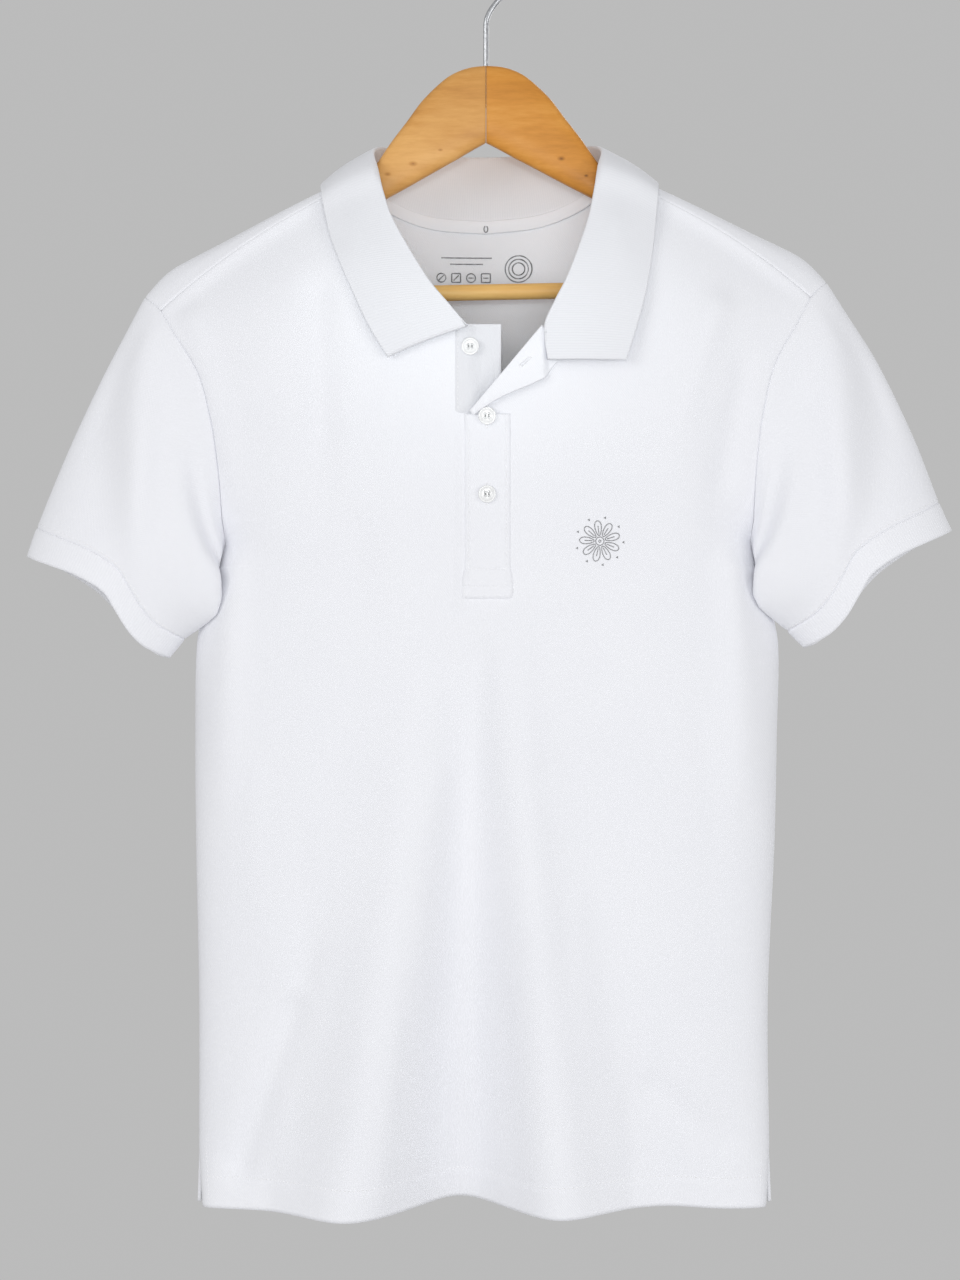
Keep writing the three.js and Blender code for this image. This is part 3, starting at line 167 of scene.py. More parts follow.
def frontDepth(x, z, creases=True):
    # Flat-ended curve across the body, held back to the shoulder seam, with folds pressed in
    across = acrossBody(x, z)
    shape = sectionShape(across)
    side, out = tableAt(bodySections, z)[2:4]
    below = np.maximum(seamHeight(x) - z, 0) / body["seamFade"]
    hold = np.maximum(np.exp(-(below ** 1.3)) - 0.02, 0) / 0.98
    edge = 1 - np.minimum(np.abs(across), 1) ** 8
    bare = blend(side * (1 - shape) - out * shape, body["seamDepth"], hold)
    rise = foldRise(frontFolds, x, z)
    if creases:
        rise = rise + foldRise(frontCreases, x, z) * (1 - hold)
    return bare + rise * edge


def hemRelief(z):
    # The hem is turned up double: a little thicker below its stitching, with a groove along it
    stitch = body["hem"] + body["hemDepth"]
    return 0.45 * smooth((stitch - z) / 1.6) - 0.2 * np.exp(-((z - stitch) / 0.9) ** 2)


def backDepth(x, z):
    across = acrossBody(x, z)
    shape = sectionShape(across)
    side, _, out = tableAt(bodySections, z)[2:5]
    edge = 1 - np.minimum(np.abs(across), 1) ** 8
    rise = foldRise(backFolds, x, z) + foldRise(backCreases, x, z)
    return side * (1 - shape) + out * shape + rise * edge


def ridgeHeight(x):
    return tableAt(ridgeLine, np.abs(x))[0] + body["tilt"] * x


# Sleeve rings: along, outer line x y z, underarm line x y z, how far it stands out in front and behind
sleeveRings = {
    -1: [(0, -224.4, -2, -245.8, -181, 8, -425, 34, 27), (0.14, -235.5, -1.6, -266.9, -187.5, -1, -432, 30, 32),
         (0.36, -252.8, -1, -299.9, -184.5, -22, -441, 24, 42), (0.68, -274.5, 0, -346, -189.5, -18, -457, 26, 36),
         (1, -295.7, 0, -397.6, -199, -4, -470.5, 30, 25), (1.2, -302.3, 0, -416.7, -209.3, -3, -483, 31, 25)],
    1: [(0, 224, -2, -236.2, 184, 8, -425, 34, 27), (0.14, 237, -1.6, -256.5, 188.5, -1, -431, 30, 32),
        (0.36, 257, -1, -288, 186, -22, -438, 24, 42), (0.68, 281, 0, -337, 191, -18, -452, 26, 36),
        (1, 298.3, 0, -381.1, 199, -4, -464.9, 30, 25), (1.2, 306.6, 0, -399.6, 210, -3, -476.1, 31, 25)]}
# part of the way from outer line to underarm, bow towards the neck: arm front, cuff front, arm back, cuff back
ringBow = [(0, 0, 0, 0, 0), (0.06, 8, 1.6, 5, 0), (0.16, 14, 5, 9, 0), (0.32, 23.5, 10, 13, -1),
           (0.5, 24.5, 11.5, 14, -2), (0.62, 22.5, 6, 13, -4), (0.73, 19.5, 0.5, 11, -6),
           (0.84, 15.5, -2.4, 8, -7), (0.94, 12, -1.5, 5, -5), (1, 0, 0, 0, 0)]
sleeve = {"power": 0.55, "tuck": 9, "ridgeRise": 4, "ridgeSlope": 0.55, "ridgeWide": 0.16,
          "rows": 34, "around": 192, "cuffRows": 9, "cuffWall": 1.7, "backLift": 10, "lipPlaces": (0, 0.05, 0.11, 0.3, 0.46, 0.63, 0.8, 1),
          "lip": {-1: (0, 4.5, 9, 11.5, 12, 12, 6.5, 0), 1: (0, 4.5, 8, 11, 12, 11, 6, 0)},
          # creases: part of the way to the underarm at the shoulder and at the cuff, rise, half width
          "creases": {-1: [(0.02, 0.62, 5.5, 0.12), (-0.2, 0.4, -2.5, 0.12)],
                      1: [(0.04, 0.6, 5.5, 0.13), (-0.2, 0.38, -2.5, 0.12)]}}


def ringPoint(side, along, step):
    # Out from the line between outer and underarm edge by a power of a sine, bowed towards the neck
    along, step = np.broadcast_arrays(np.asarray(along, float), np.asarray(step, float))
    behind = step > body["ringHalf"]
    part = (1 + np.cos(np.pi * step / body["ringHalf"])) / 2
    outX, outY, outZ, inX, inY, inZ, front, back = tableAt(sleeveRings[side], along)
    runX, runZ = inX - outX, inZ - outZ
    length = np.hypot(runX, runZ)
    far = np.minimum(along, 1)
    armFront, cuffFront, armBack, cuffBack = tableAt(ringBow, part)
    bow = blend(np.where(behind, armBack, armFront), np.where(behind, cuffBack, cuffFront), far ** 0.5)
    middle = np.sin(np.pi * far)
    tuck = np.where(behind, -sleeve["tuck"] * middle * part ** 6 * (1 - part ** 20), 0)
    around = np.maximum(np.sin(np.pi * part), 0) ** sleeve["power"]
    fromRidge = (part - sleeve["ridgeSlope"] * far) / sleeve["ridgeWide"]
    ridge = -sleeve["ridgeRise"] * middle * np.exp(-fromRidge ** 2)
    depth = np.where(behind, back * around, (ridge - front) * around)
    shift = side * (bow + tuck) / length
    return np.stack([outX + runX * part + shift * runZ, blend(outY, inY, part) + depth,
                     outZ + runZ * part - shift * runX], axis=-1)


def columnPlace(share):
    return 0.62 * share + 0.38 * np.sin(np.pi / 2 * share)


def bodyPoint(share, height, front):
    # Across by the share, out by the depth; the hem lifts on folds and the side edges part at the vents
    share, height = np.broadcast_arrays(np.asarray(share, float), np.asarray(height, float))
    left, right = tableAt(bodySections, height)[:2]
    x = (left + right) / 2 + (right - left) / 2 * columnPlace(share)
    rise = foldRise(frontFolds, x, height) if front else -foldRise(backFolds, x, height)
    low = np.maximum(1 - (height - body["hem"]) / body["hemFade"], 0)
    opened = np.clip((body["vent"] - height) / (body["vent"] - body["hem"]), 0, 1) * np.abs(share) ** 6
    z = height + body["hemLift"] * rise * low * (1 - share ** 8)
    parted = -7 * opened if front else 8 * opened
    spread = (-3 if front else 2) * opened * np.sign(share)
    depth = frontDepth(x, height) - hemRelief(height) if front else backDepth(x, height) + hemRelief(height)
    return np.stack([x + spread, depth + parted, z], axis=-1)


def bodyGrid(front, columns):
    # Rows of heights: the hem, the vent, then evenly up to the underarm
    fine = body["fine"]
    heights = np.concatenate([
        np.linspace(body["hem"], body["hem"] + body["hemDepth"], 9)[:-1],
        np.linspace(body["hem"] + body["hemDepth"], body["vent"], 7)[:-1],
        np.linspace(body["vent"], body["underarm"], 12 * fine + 1)])
    share = np.linspace(-1, 1, 2 * columns * fine + 1)
    return bodyPoint(share[None, :], heights[:, None], front)


def shoulderSeam(side, part):
    # From the armhole's corner to the neck point, a line with a small bow
    corner = ringPoint(side, 0, body["cornerStep"])
    neck = (neckLeft if side < 0 else neckRight)[0]
    x = blend(corner[0], neck[1], part)
    z = blend(corner[2], neck[2], part) + 7 * np.sin(np.pi * part ** 0.85)
    z = np.where(part >= 1, neck[2], z)
    return np.stack([x, blend(corner[1], body["seamDepth"], np.minimum(2 * part, 1)), z], axis=-1)


def frontNeckline(side, step):
    x, z = tableAt(neckLeft if side < 0 else neckRight, step)
    y = blend(body["seamDepth"], frontDepth(x, z), np.minimum(step, 1))
    return np.stack([x, y, z], axis=-1)


def backNeckline(step):
    # Half the neckline for each side, leaning with the hanger, ending on the neck points
    half = body["backNeckColumns"]
    side = np.where(step < half, -1, 1)
    away = np.minimum(step, 2 * half - step)
    x, y, z = tableAt(neckBack, away)
    ends = np.where(side < 0, neckLeft[0][1] + neckBack[0][1], neckRight[0][1] - neckBack[0][1])
    drop = np.where(side < 0, neckLeft[0][2], neckRight[0][2]) - (neckBack[0][3] + side * body["tilt"] * neckBack[0][1])
    near = np.clip(1 - away, 0, 1)
    return np.stack([side * x + ends * near, y, z + side * body["tilt"] * x + drop * near], axis=-1)


def patchGrid(left, right, bottom, top):
    # Blend of opposite edges less the blend of the corners
    up = np.linspace(0, 1, len(left))[:, None, None]
    over = np.linspace(0, 1, len(bottom))[None, :, None]
    sides = blend(left[:, None], right[:, None], over)
    ends = blend(bottom[None, :], top[None, :], up)
    corners = blend(blend(bottom[0], bottom[-1], over), blend(top[0], top[-1], over), up)
    return sides + ends - corners


def relax(grid, passes):
    # Each inner point moves to the middle of its four neighbours
    for _ in range(passes):
        grid[1:-1, 1:-1] = (grid[:-2, 1:-1] + grid[2:, 1:-1] + grid[1:-1, :-2] + grid[1:-1, 2:]) / 4
    return grid


def refine(net, times, axis):
    # Catmull-Rom: each stretch between two net points is a cubic with slopes from their neighbours
    net = np.moveaxis(net, axis, 0)
    padded = np.concatenate([2 * net[:1] - net[1:2], net, 2 * net[-1:] - net[-2:-1]])
    count = len(net) - 1
    place = np.linspace(0, count, count * times + 1)
    low = np.minimum(place.astype(int), count - 1)
    part = (place - low).reshape(-1, *([1] * (net.ndim - 1)))
    a, b, c, d = (padded[low + k] for k in range(4))
    out = 0.5 * (2 * b + (c - a) * part + (2 * a - 5 * b + 4 * c - d) * part ** 2
                 + (3 * b - a - 3 * c + d) * part ** 3)
    return np.moveaxis(out, 0, axis)


def fitEdge(grid, edge, curve, reach):
    # Moves one edge of a grid on to a curve and fades the move out over some rows or columns
    view = {"bottom": grid, "top": grid[::-1], "left": grid.swapaxes(0, 1),
            "right": grid.swapaxes(0, 1)[::-1]}[edge]
    weight = np.maximum(1 - np.arange(len(view)) / reach, 0) ** 2
    view += (curve - view[0])[None] * weight[:, None, None]
    return grid


def turnIn(grid, edge, outwards):
    # Near its seam a sheet moves back by 0.5 exp(-(d / 1.1)^2) and down by 0.42 exp(-(d / 0.8)^2),
    # then ends in a narrow allowance turned inwards
    turned = edge in ("left", "right")
    view = grid.swapaxes(0, 1) if turned else grid
    view = view[::-1] if edge in ("top", "right") else view
    first, second = view[0], view[1]
    step = second[:, :3] - first[:, :3]
    reach = np.linalg.norm(step, axis=1, keepdims=True)
    inwards = step / np.maximum(reach, 1e-6)
    normal = np.cross(inwards, np.gradient(first[:, :3], axis=0))
    normal /= np.maximum(np.linalg.norm(normal, axis=1, keepdims=True), 1e-6)
    normal *= np.sign(np.sum(normal * outwards, axis=1, keepdims=True))
    rows = []
    for back, down in ((0.5, 2.3), (0.5, 1.1)):
        row = first.copy()
        row[:, :3] += inwards * back - normal * down
        rows.append(row)
    for part in (0, 0.16, 0.36, 0.64):
        away = part * np.minimum(reach, 2.2)
        row = blend(first, second, away / np.maximum(reach, 1e-6))
        row[:, :3] = (first[:, :3] + inwards * (away + 0.5 * np.exp(-(away / 1.1) ** 2))
                      - normal * 0.42 * np.exp(-(away / 0.8) ** 2))
        rows.append(row)
    view = np.concatenate([np.stack(rows), view[1:]])
    view = view[::-1] if edge in ("top", "right") else view
    return view.swapaxes(0, 1) if turned else view


def frontUpper(side, bottom):
    # Half the front above the underarm: a relaxed patch whose depth is the front's own
    fine, corner, slitRow = body["fine"], body["cornerStep"], body["slitRow"]
    row = np.linspace(0, corner, corner * fine + 1)
    foot, top = lapel["foot"], (neckLeft if side < 0 else neckRight)[-1][1:]
    low, high = np.minimum(row / slitRow, 1), np.maximum((row - slitRow) / (corner - slitRow), 0)
    x = blend(blend(bottom[-1, 0], foot[0], low), top[0], high)
    z = blend(blend(bottom[-1, 2], foot[1], low), top[1], high)
    centre = np.stack([x, frontDepth(x, z), z], axis=-1)
    armhole = ringPoint(side, 0, row)
    seam = shoulderSeam(side, np.linspace(0, 1, body["shoulderColumns"] * fine + 1))
    neck = frontNeckline(side, np.linspace(0, body["frontNeckColumns"], body["frontNeckColumns"] * fine + 1))
    topEdge = np.concatenate([seam, neck[1:]])
    grid = relax(patchGrid(armhole, centre, bottom, topEdge), 2400)
    bare = frontDepth(grid[..., 0], grid[..., 2])
    column = np.arange(len(bottom)) / fine
    near = np.maximum(1 - column / 5, 0) ** 2
    step = (armhole[:, 1] - bare[:, 0])[:, None] * near[None, :]
    topStep = (topEdge[:, 1] - bare[-1] - step[-1])[None, :] * np.maximum(1 - (corner - row) / 1.6, 0)[:, None] ** 2
    grid[1:, 1:-1, 1] = (bare + step + topStep)[1:, 1:-1]
    return grid


def backUpper(bottom, below):
    # The back above the underarm and over the ridge: a net of rows refined to the fine grid
    half = body["shoulderColumns"] + body["backNeckColumns"]
    last, ringHalf, wrap = 2 * half, body["ringHalf"], body["ringHalf"] - body["cornerStep"]
    column = np.arange(last + 1)
    edge = np.minimum(column, last - column)
    side = np.where(column < half, -1, 1)
    seam = np.linspace(0, 1, body["shoulderColumns"] + 1)
    neck = backNeckline(np.arange(2 * body["backNeckColumns"] + 1.0))
    end = np.concatenate([shoulderSeam(-1, seam), neck[1:-1], shoulderSeam(1, seam)[::-1]])
    onRidge = (edge <= body["shoulderColumns"]).astype(float)
    beside = np.where(onRidge > 0, 1, np.exp(-(end[:, 1] + 2) / 12))
    ridgeX = end[:, 0] + side * blend(13.7, 4, np.minimum(edge / body["shoulderColumns"], 1))
    ridge = np.stack([ridgeX, np.where(edge == body["shoulderColumns"], 3, 1), ridgeHeight(ridgeX)], -1)
    plain = np.stack([end[:, 0] * 1.02, np.maximum(end[:, 1] - 1, 0) + 12.5 * beside,
                      end[:, 2] - 30 + 20 * beside], -1)
    crest = np.where(onRidge[:, None] > 0, ridge, plain)
    brow = crest + np.stack([0 * onRidge, 8.2 * onRidge, -5.5 * onRidge], -1)
    near = np.maximum(1 - edge / 7, 0) ** 2
    start = bottom[::body["fine"]]
    rows = [below[::body["fine"]], start]
    for row in range(1, ringHalf + wrap + 1):
        ring = np.stack([ringPoint(s, 0, 2 * ringHalf - row) for s in (-1, 1)])[(side > 0).astype(int)]
        if row < ringHalf:
            ringed = (1 - math.cos(math.pi * row / ringHalf)) / 2
            part = blend(row / (ringHalf - onRidge), ringed, near)
            rest = blend(start, brow, part[:, None])
            rest[:, 0] = blend(start[:, 0], brow[:, 0], part ** 1.4)
            rest[:, 1] = blend(start[:, 1], brow[:, 1], part ** blend(1.6, 4.5, onRidge))
            rest[:, 1] += foldRise(backFolds, rest[:, 0], rest[:, 2]) * (1 - part) * part
            baseStart = np.where(side[:, None] < 0, start[0], start[-1])
            tips = np.stack([ringPoint(s, 0, ringHalf) for s in (-1, 1)])[(side > 0).astype(int)]
            base = blend(baseStart, tips, ringed)
            base[:, 0] = blend(baseStart[:, 0], tips[:, 0], ringed ** 1.4)
            base[:, 1] = blend(baseStart[:, 1], tips[:, 1], ringed ** 4.5)
            line = rest + (ring - base) * near[:, None]
        elif row == ringHalf:
            line = crest.copy()
        elif row < ringHalf + wrap:
            line = blend(crest, end, (row - ringHalf) / wrap)
            line[:, 2] += blend(3.4, 2.6, onRidge) * beside
            line[:, 1] += blend(2.4, -1.4, onRidge) * beside
        else:
            line = end.copy()
        line[edge == 0] = ring[edge == 0]
        rows.append(line)
    fine = body["fine"]
    grid = refine(refine(np.stack(rows), fine, 0), fine, 1)[fine:]
    ringStep = 2 * ringHalf - np.linspace(0, ringHalf + wrap, (ringHalf + wrap) * fine + 1)
    fitEdge(grid, "left", ringPoint(-1, 0, ringStep), 2 * fine)
    fitEdge(grid, "right", ringPoint(1, 0, ringStep), 2 * fine)
    fitEdge(grid, "bottom", bottom, 3 * fine)
    seam = np.linspace(0, 1, body["shoulderColumns"] * fine + 1)
    neck = backNeckline(np.linspace(0, 2 * body["backNeckColumns"], 2 * body["backNeckColumns"] * fine + 1))
    topEdge = np.concatenate([shoulderSeam(-1, seam), neck[1:-1], shoulderSeam(1, seam)[::-1]])
    return fitEdge(grid, "top", topEdge, fine)


# Mesh making


class Patch:
    # Grids of points joined into one mesh; equal points are welded and each corner keeps its own UV
    def __init__(self):
        self.points, self.faces, self.uvs, self.count = [], [], [], 0

    def grid(self, points, uv, turned=False, closed=False):
        rows, columns = points.shape[:2]
        index = self.count + np.arange(rows * columns).reshape(rows, columns)
        wide = np.concatenate([index, index[:, :1]], 1) if closed else index
        corners = [wide[:-1, :-1], wide[:-1, 1:], wide[1:, 1:], wide[1:, :-1]]
        uvCorners = [uv[:-1, :-1], uv[:-1, 1:], uv[1:, 1:], uv[1:, :-1]]
        if turned:
            corners, uvCorners = corners[::-1], uvCorners[::-1]
        self.points.append(points.reshape(-1, 3))
        self.faces.append(np.stack(corners, -1).reshape(-1, 4))
        self.uvs.append(np.stack(uvCorners, 2).reshape(-1, 4, 2))
        self.count += rows * columns
        return index

    def fan(self, centre, ring, uv=(0, 0)):
        # Closes a ring with triangles to one point, written as quads with a doubled corner
        tip = self.count
        self.points.append(np.asarray(centre, float).reshape(1, 3))
        self.count += 1
        after = np.roll(ring, -1)
        self.faces.append(np.stack([ring, after, np.full(len(ring), tip), np.full(len(ring), tip)], -1))
        self.uvs.append(np.zeros((len(ring), 4, 2)) + np.array(uv))

    def build(self, name, weld=True):
        points, faces = np.concatenate(self.points), np.concatenate(self.faces)
        uvs = np.concatenate(self.uvs)
        if weld:
            _, first, same = np.unique(np.round(points * 500).astype(np.int64), axis=0,
                                       return_index=True, return_inverse=True)
            points, faces = points[first], same.reshape(-1)[faces]
        return meshFrom(name, points, faces, uvs)


def meshFrom(name, points, faces, uvs):
    # Quads with two equal corners in a row become triangles; flat ones are dropped
    triple = faces[:, 2] == faces[:, 3]
    size = np.where(triple, 3, 4)
    keep = np.ones(faces.shape, bool)
    keep[triple, 3] = False
    mesh = bpy.data.meshes.new(name)
    mesh.vertices.add(len(points))
    mesh.vertices.foreach_set("co", (points * mm).astype(np.float32).ravel())
    mesh.loops.add(int(size.sum()))
    mesh.loops.foreach_set("vertex_index", faces[keep].astype(np.int32))
    mesh.polygons.add(len(faces))
    starts = np.concatenate([[0], np.cumsum(size)[:-1]]).astype(np.int32)
    mesh.polygons.foreach_set("loop_start", starts)
    layer = mesh.uv_layers.new(name="cloth")
    layer.data.foreach_set("uv", (uvs[keep] * mm).astype(np.float32).ravel())
    mesh.polygons.foreach_set("use_smooth", np.ones(len(faces), bool))
    mesh.update(calc_edges=True)
    mesh.validate()
    piece = bpy.data.objects.new(name, mesh)
    bpy.context.scene.collection.objects.link(piece)
    return piece


def flatUv(points):
    return points[..., [0, 2]]


def lengthUv(points, closed=False):
    # Mean spacing of the columns and of the rows, added up, in millimetres
    wide = np.concatenate([points, points[:, :1]], 1) if closed else points
    over = np.linalg.norm(np.diff(wide, axis=1), axis=-1).mean(0)
    up = np.linalg.norm(np.diff(wide, axis=0), axis=-1).mean(1)
    across = np.concatenate([[0], np.cumsum(over)])
    along = np.concatenate([[0], np.cumsum(up)])
    return np.stack(np.broadcast_arrays(across[None, :], along[:, None]), -1)


def gridNormals(points):
    # Cross product of the steps along columns and rows
    over, up = np.gradient(points, axis=1), np.gradient(points, axis=0)
    normal = np.cross(over, up)
    return normal / np.maximum(np.linalg.norm(normal, axis=-1, keepdims=True), 1e-9)


def thicken(piece, wall, offset=0):
    shell = piece.modifiers.new("wall", "SOLIDIFY")
    shell.thickness = wall * mm
    shell.offset = offset
    shell.use_even_offset = False
    return piece


def finishPiece(piece, material, nodes=()):
    piece.data.materials.append(material)
    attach(piece, "root")
    if nodes:
        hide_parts(*nodes)
    return piece


def stitches(name, path, out, material, pitch=2.9, length=2.2, radius=0.24, sink=0.0):
    # A row of short threads along a path: each is a six-sided bead, thick in the middle, arched outwards
    path, out = np.asarray(path, float), np.asarray(out, float)
    run = np.concatenate([[0], np.cumsum(np.linalg.norm(np.diff(path, axis=0), axis=1))])
    count = max(int(run[-1] / pitch), 1)
    start = (np.arange(count) + 0.5) * run[-1] / count
    place = start[:, None] + np.linspace(-0.5, 0.5, 5)[None, :] * length
    centre = np.stack([np.interp(place, run, path[:, k]) for k in range(3)], -1)
    up = np.stack([np.interp(place, run, out[:, k]) for k in range(3)], -1)
    up /= np.linalg.norm(up, axis=-1, keepdims=True)
    along = centre[:, -1:] - centre[:, :1]
    along = along / np.maximum(np.linalg.norm(along, axis=-1, keepdims=True), 1e-9)
    beside = np.cross(along, up)
    swell = np.array([0.25, 0.9, 1, 0.9, 0.25]) * radius
    arch = np.array([-0.9, 0.1, 0.45, 0.1, -0.9]) * radius
    centre = centre + up * (arch[None, :, None] - sink)
    angle = np.arange(6) * np.pi / 3
    ring = (beside[:, :, None] * np.cos(angle)[None, None, :, None]
            + up[:, :, None] * np.sin(angle)[None, None, :, None]) * swell[None, :, None, None]
    points = (centre[:, :, None] + ring).reshape(-1, 3)
    base = np.arange(count)[:, None, None] * 30 + np.arange(4)[None, :, None] * 6 + np.arange(6)[None, None, :]
    nextStep = base - np.arange(6) + (np.arange(6) + 1) % 6
    faces = np.stack([base, nextStep, nextStep + 6, base + 6], -1).reshape(-1, 4)
    caps = []
    for row, turn in ((0, -1), (4, 1)):
        ends = np.arange(count)[:, None] * 30 + row * 6 + np.array([[0, 1, 2, 3], [0, 3, 4, 5]])[:, ::-turn][:, None]
        caps.append(ends.reshape(-1, 4))
    faces = np.concatenate([faces, *caps])
    piece = meshFrom(name, points, faces, np.zeros((len(faces), 4, 2)))
    return finishPiece(piece, material)


print("helpers ready")

# Materials


def nodesOf(name):
    material = bpy.data.materials.new(name)
    material.use_nodes = True
    tree = material.node_tree
    shader = tree.nodes["Principled BSDF"]
    return material, tree, shader


def link(tree, source, target):
    tree.links.new(source, target)


def mathNode(tree, operation, first, second=None):
    node = tree.nodes.new("ShaderNodeMath")
    node.operation = operation
    for index, value in enumerate((first, second)):
        if value is None:
            continue
        if isinstance(value, (int, float)):
            node.inputs[index].default_value = value
        else:
            link(tree, value, node.inputs[index])
    return node.outputs[0]


def noiseNode(tree, vector, scale, detail=3.0, roughness=0.5):
    node = tree.nodes.new("ShaderNodeTexNoise")
    link(tree, vector, node.inputs["Vector"])
    node.inputs["Scale"].default_value = scale
    node.inputs["Detail"].default_value = detail
    node.inputs["Roughness"].default_value = roughness
    return node.outputs["Fac"]


def rampNode(tree, factor, stops):
    node = tree.nodes.new("ShaderNodeValToRGB")
    link(tree, factor, node.inputs["Fac"])
    ramp = node.color_ramp
    while len(ramp.elements) < len(stops):
        ramp.elements.new(0.5)
    for element, (place, colour) in zip(ramp.elements, stops):
        element.position = place
        element.color = (*colour, 1)
    return node.outputs["Color"]


def bumpNode(tree, height, distance, strength=1.0, normal=None):
    node = tree.nodes.new("ShaderNodeBump")
    node.inputs["Strength"].default_value = strength
    node.inputs["Distance"].default_value = distance
    link(tree, height, node.inputs["Height"])
    if normal is not None:
        link(tree, normal, node.inputs["Normal"])
    return node.outputs["Normal"]


clothLook = {"colour": (0.855, 0.862, 0.9), "shade": (0.83, 0.838, 0.88), "roughness": 0.9,
             "sheen": 0.15, "cell": 1.5, "relief": 0.0001}


def clothTones(tone):
    return [tuple(part * tone for part in clothLook[key]) for key in ("shade", "colour")]


def piqueMaterial(name, tone=1.0):
    # Offset rows of small cells: the product of two sines along the columns and rows of the knit
    material, tree, shader = nodesOf(name)
    uv = tree.nodes.new("ShaderNodeUVMap")
    uv.uv_map = "cloth"
    parts = tree.nodes.new("ShaderNodeSeparateXYZ")
    link(tree, uv.outputs["UV"], parts.inputs[0])
    turn = 2 * math.pi / (clothLook["cell"] * mm)
    wales = mathNode(tree, "SINE", mathNode(tree, "MULTIPLY", parts.outputs["X"], turn))
    courses = mathNode(tree, "SINE", mathNode(tree, "MULTIPLY", parts.outputs["Y"], turn * 0.78))
    cells = mathNode(tree, "MULTIPLY", wales, courses)
    height = mathNode(tree, "MULTIPLY", mathNode(tree, "ADD", cells, 1.0), 0.5)
    place = tree.nodes.new("ShaderNodeTexCoord").outputs["Object"]
    fuzz = noiseNode(tree, place, 900, 2)
    soft = noiseNode(tree, place, 14, 2)
    near = bumpNode(tree, height, clothLook["relief"], 0.7)
    link(tree, bumpNode(tree, fuzz, 0.00006, 0.5, near), shader.inputs["Normal"])
    # painted shade: the hollows of the cells take the darker shade tone, mixed with slow random tone from the soft
    # noise
    shade, colour = clothTones(tone)
    mix = mathNode(tree, "ADD", mathNode(tree, "MULTIPLY", height, 0.35),
                    mathNode(tree, "MULTIPLY", soft, 0.65))
    link(tree, rampNode(tree, mix, [(0.25, shade), (0.75, colour)]), shader.inputs["Base Color"])
    shader.inputs["Roughness"].default_value = clothLook["roughness"]
    shader.inputs["Sheen Weight"].default_value = clothLook["sheen"]
    shader.inputs["Sheen Roughness"].default_value = 0.5
    return material


def ribMaterial(name, pitch, relief, across="X", tone=1.0):
    # Ribs of a flat knit: a sine across the ribs with a fine stitch along them
    material, tree, shader = nodesOf(name)
    uv = tree.nodes.new("ShaderNodeUVMap")
    uv.uv_map = "cloth"
    parts = tree.nodes.new("ShaderNodeSeparateXYZ")
    link(tree, uv.outputs["UV"], parts.inputs[0])
    along = "Y" if across == "X" else "X"
    ribs = mathNode(tree, "SINE", mathNode(tree, "MULTIPLY", parts.outputs[across], 2 * math.pi / (pitch * mm)))
    loops = mathNode(tree, "SINE", mathNode(tree, "MULTIPLY", parts.outputs[along], 2 * math.pi / (1.1 * mm)))
    height = mathNode(tree, "ADD", mathNode(tree, "MULTIPLY", ribs, 0.42),
                      mathNode(tree, "MULTIPLY", loops, 0.08))
    height = mathNode(tree, "ADD", height, 0.5)
    place = tree.nodes.new("ShaderNodeTexCoord").outputs["Object"]
    fuzz = noiseNode(tree, place, 900, 2)
    near = bumpNode(tree, height, relief, 0.6)
    link(tree, bumpNode(tree, fuzz, 0.00006, 0.5, near), shader.inputs["Normal"])
    shade, colour = clothTones(tone)
    # painted shade: the valleys between the ribs take the darker shade tone
    link(tree, rampNode(tree, height, [(0.1, shade), (0.7, colour)]), shader.inputs["Base Color"])
    shader.inputs["Roughness"].default_value = clothLook["roughness"]
    shader.inputs["Sheen Weight"].default_value = clothLook["sheen"]
    return material


def threadMaterial(name, colour):
    material, tree, shader = nodesOf(name)
    place = tree.nodes.new("ShaderNodeTexCoord").outputs["Object"]
    twist = noiseNode(tree, place, 1400, 2)
    shade = tuple(c * 0.9 for c in colour)
    link(tree, rampNode(tree, twist, [(0.3, shade), (0.7, colour)]), shader.inputs["Base Color"])
    link(tree, bumpNode(tree, twist, 0.00008, 0.6), shader.inputs["Normal"])
    shader.inputs["Roughness"].default_value = 0.7
    return material


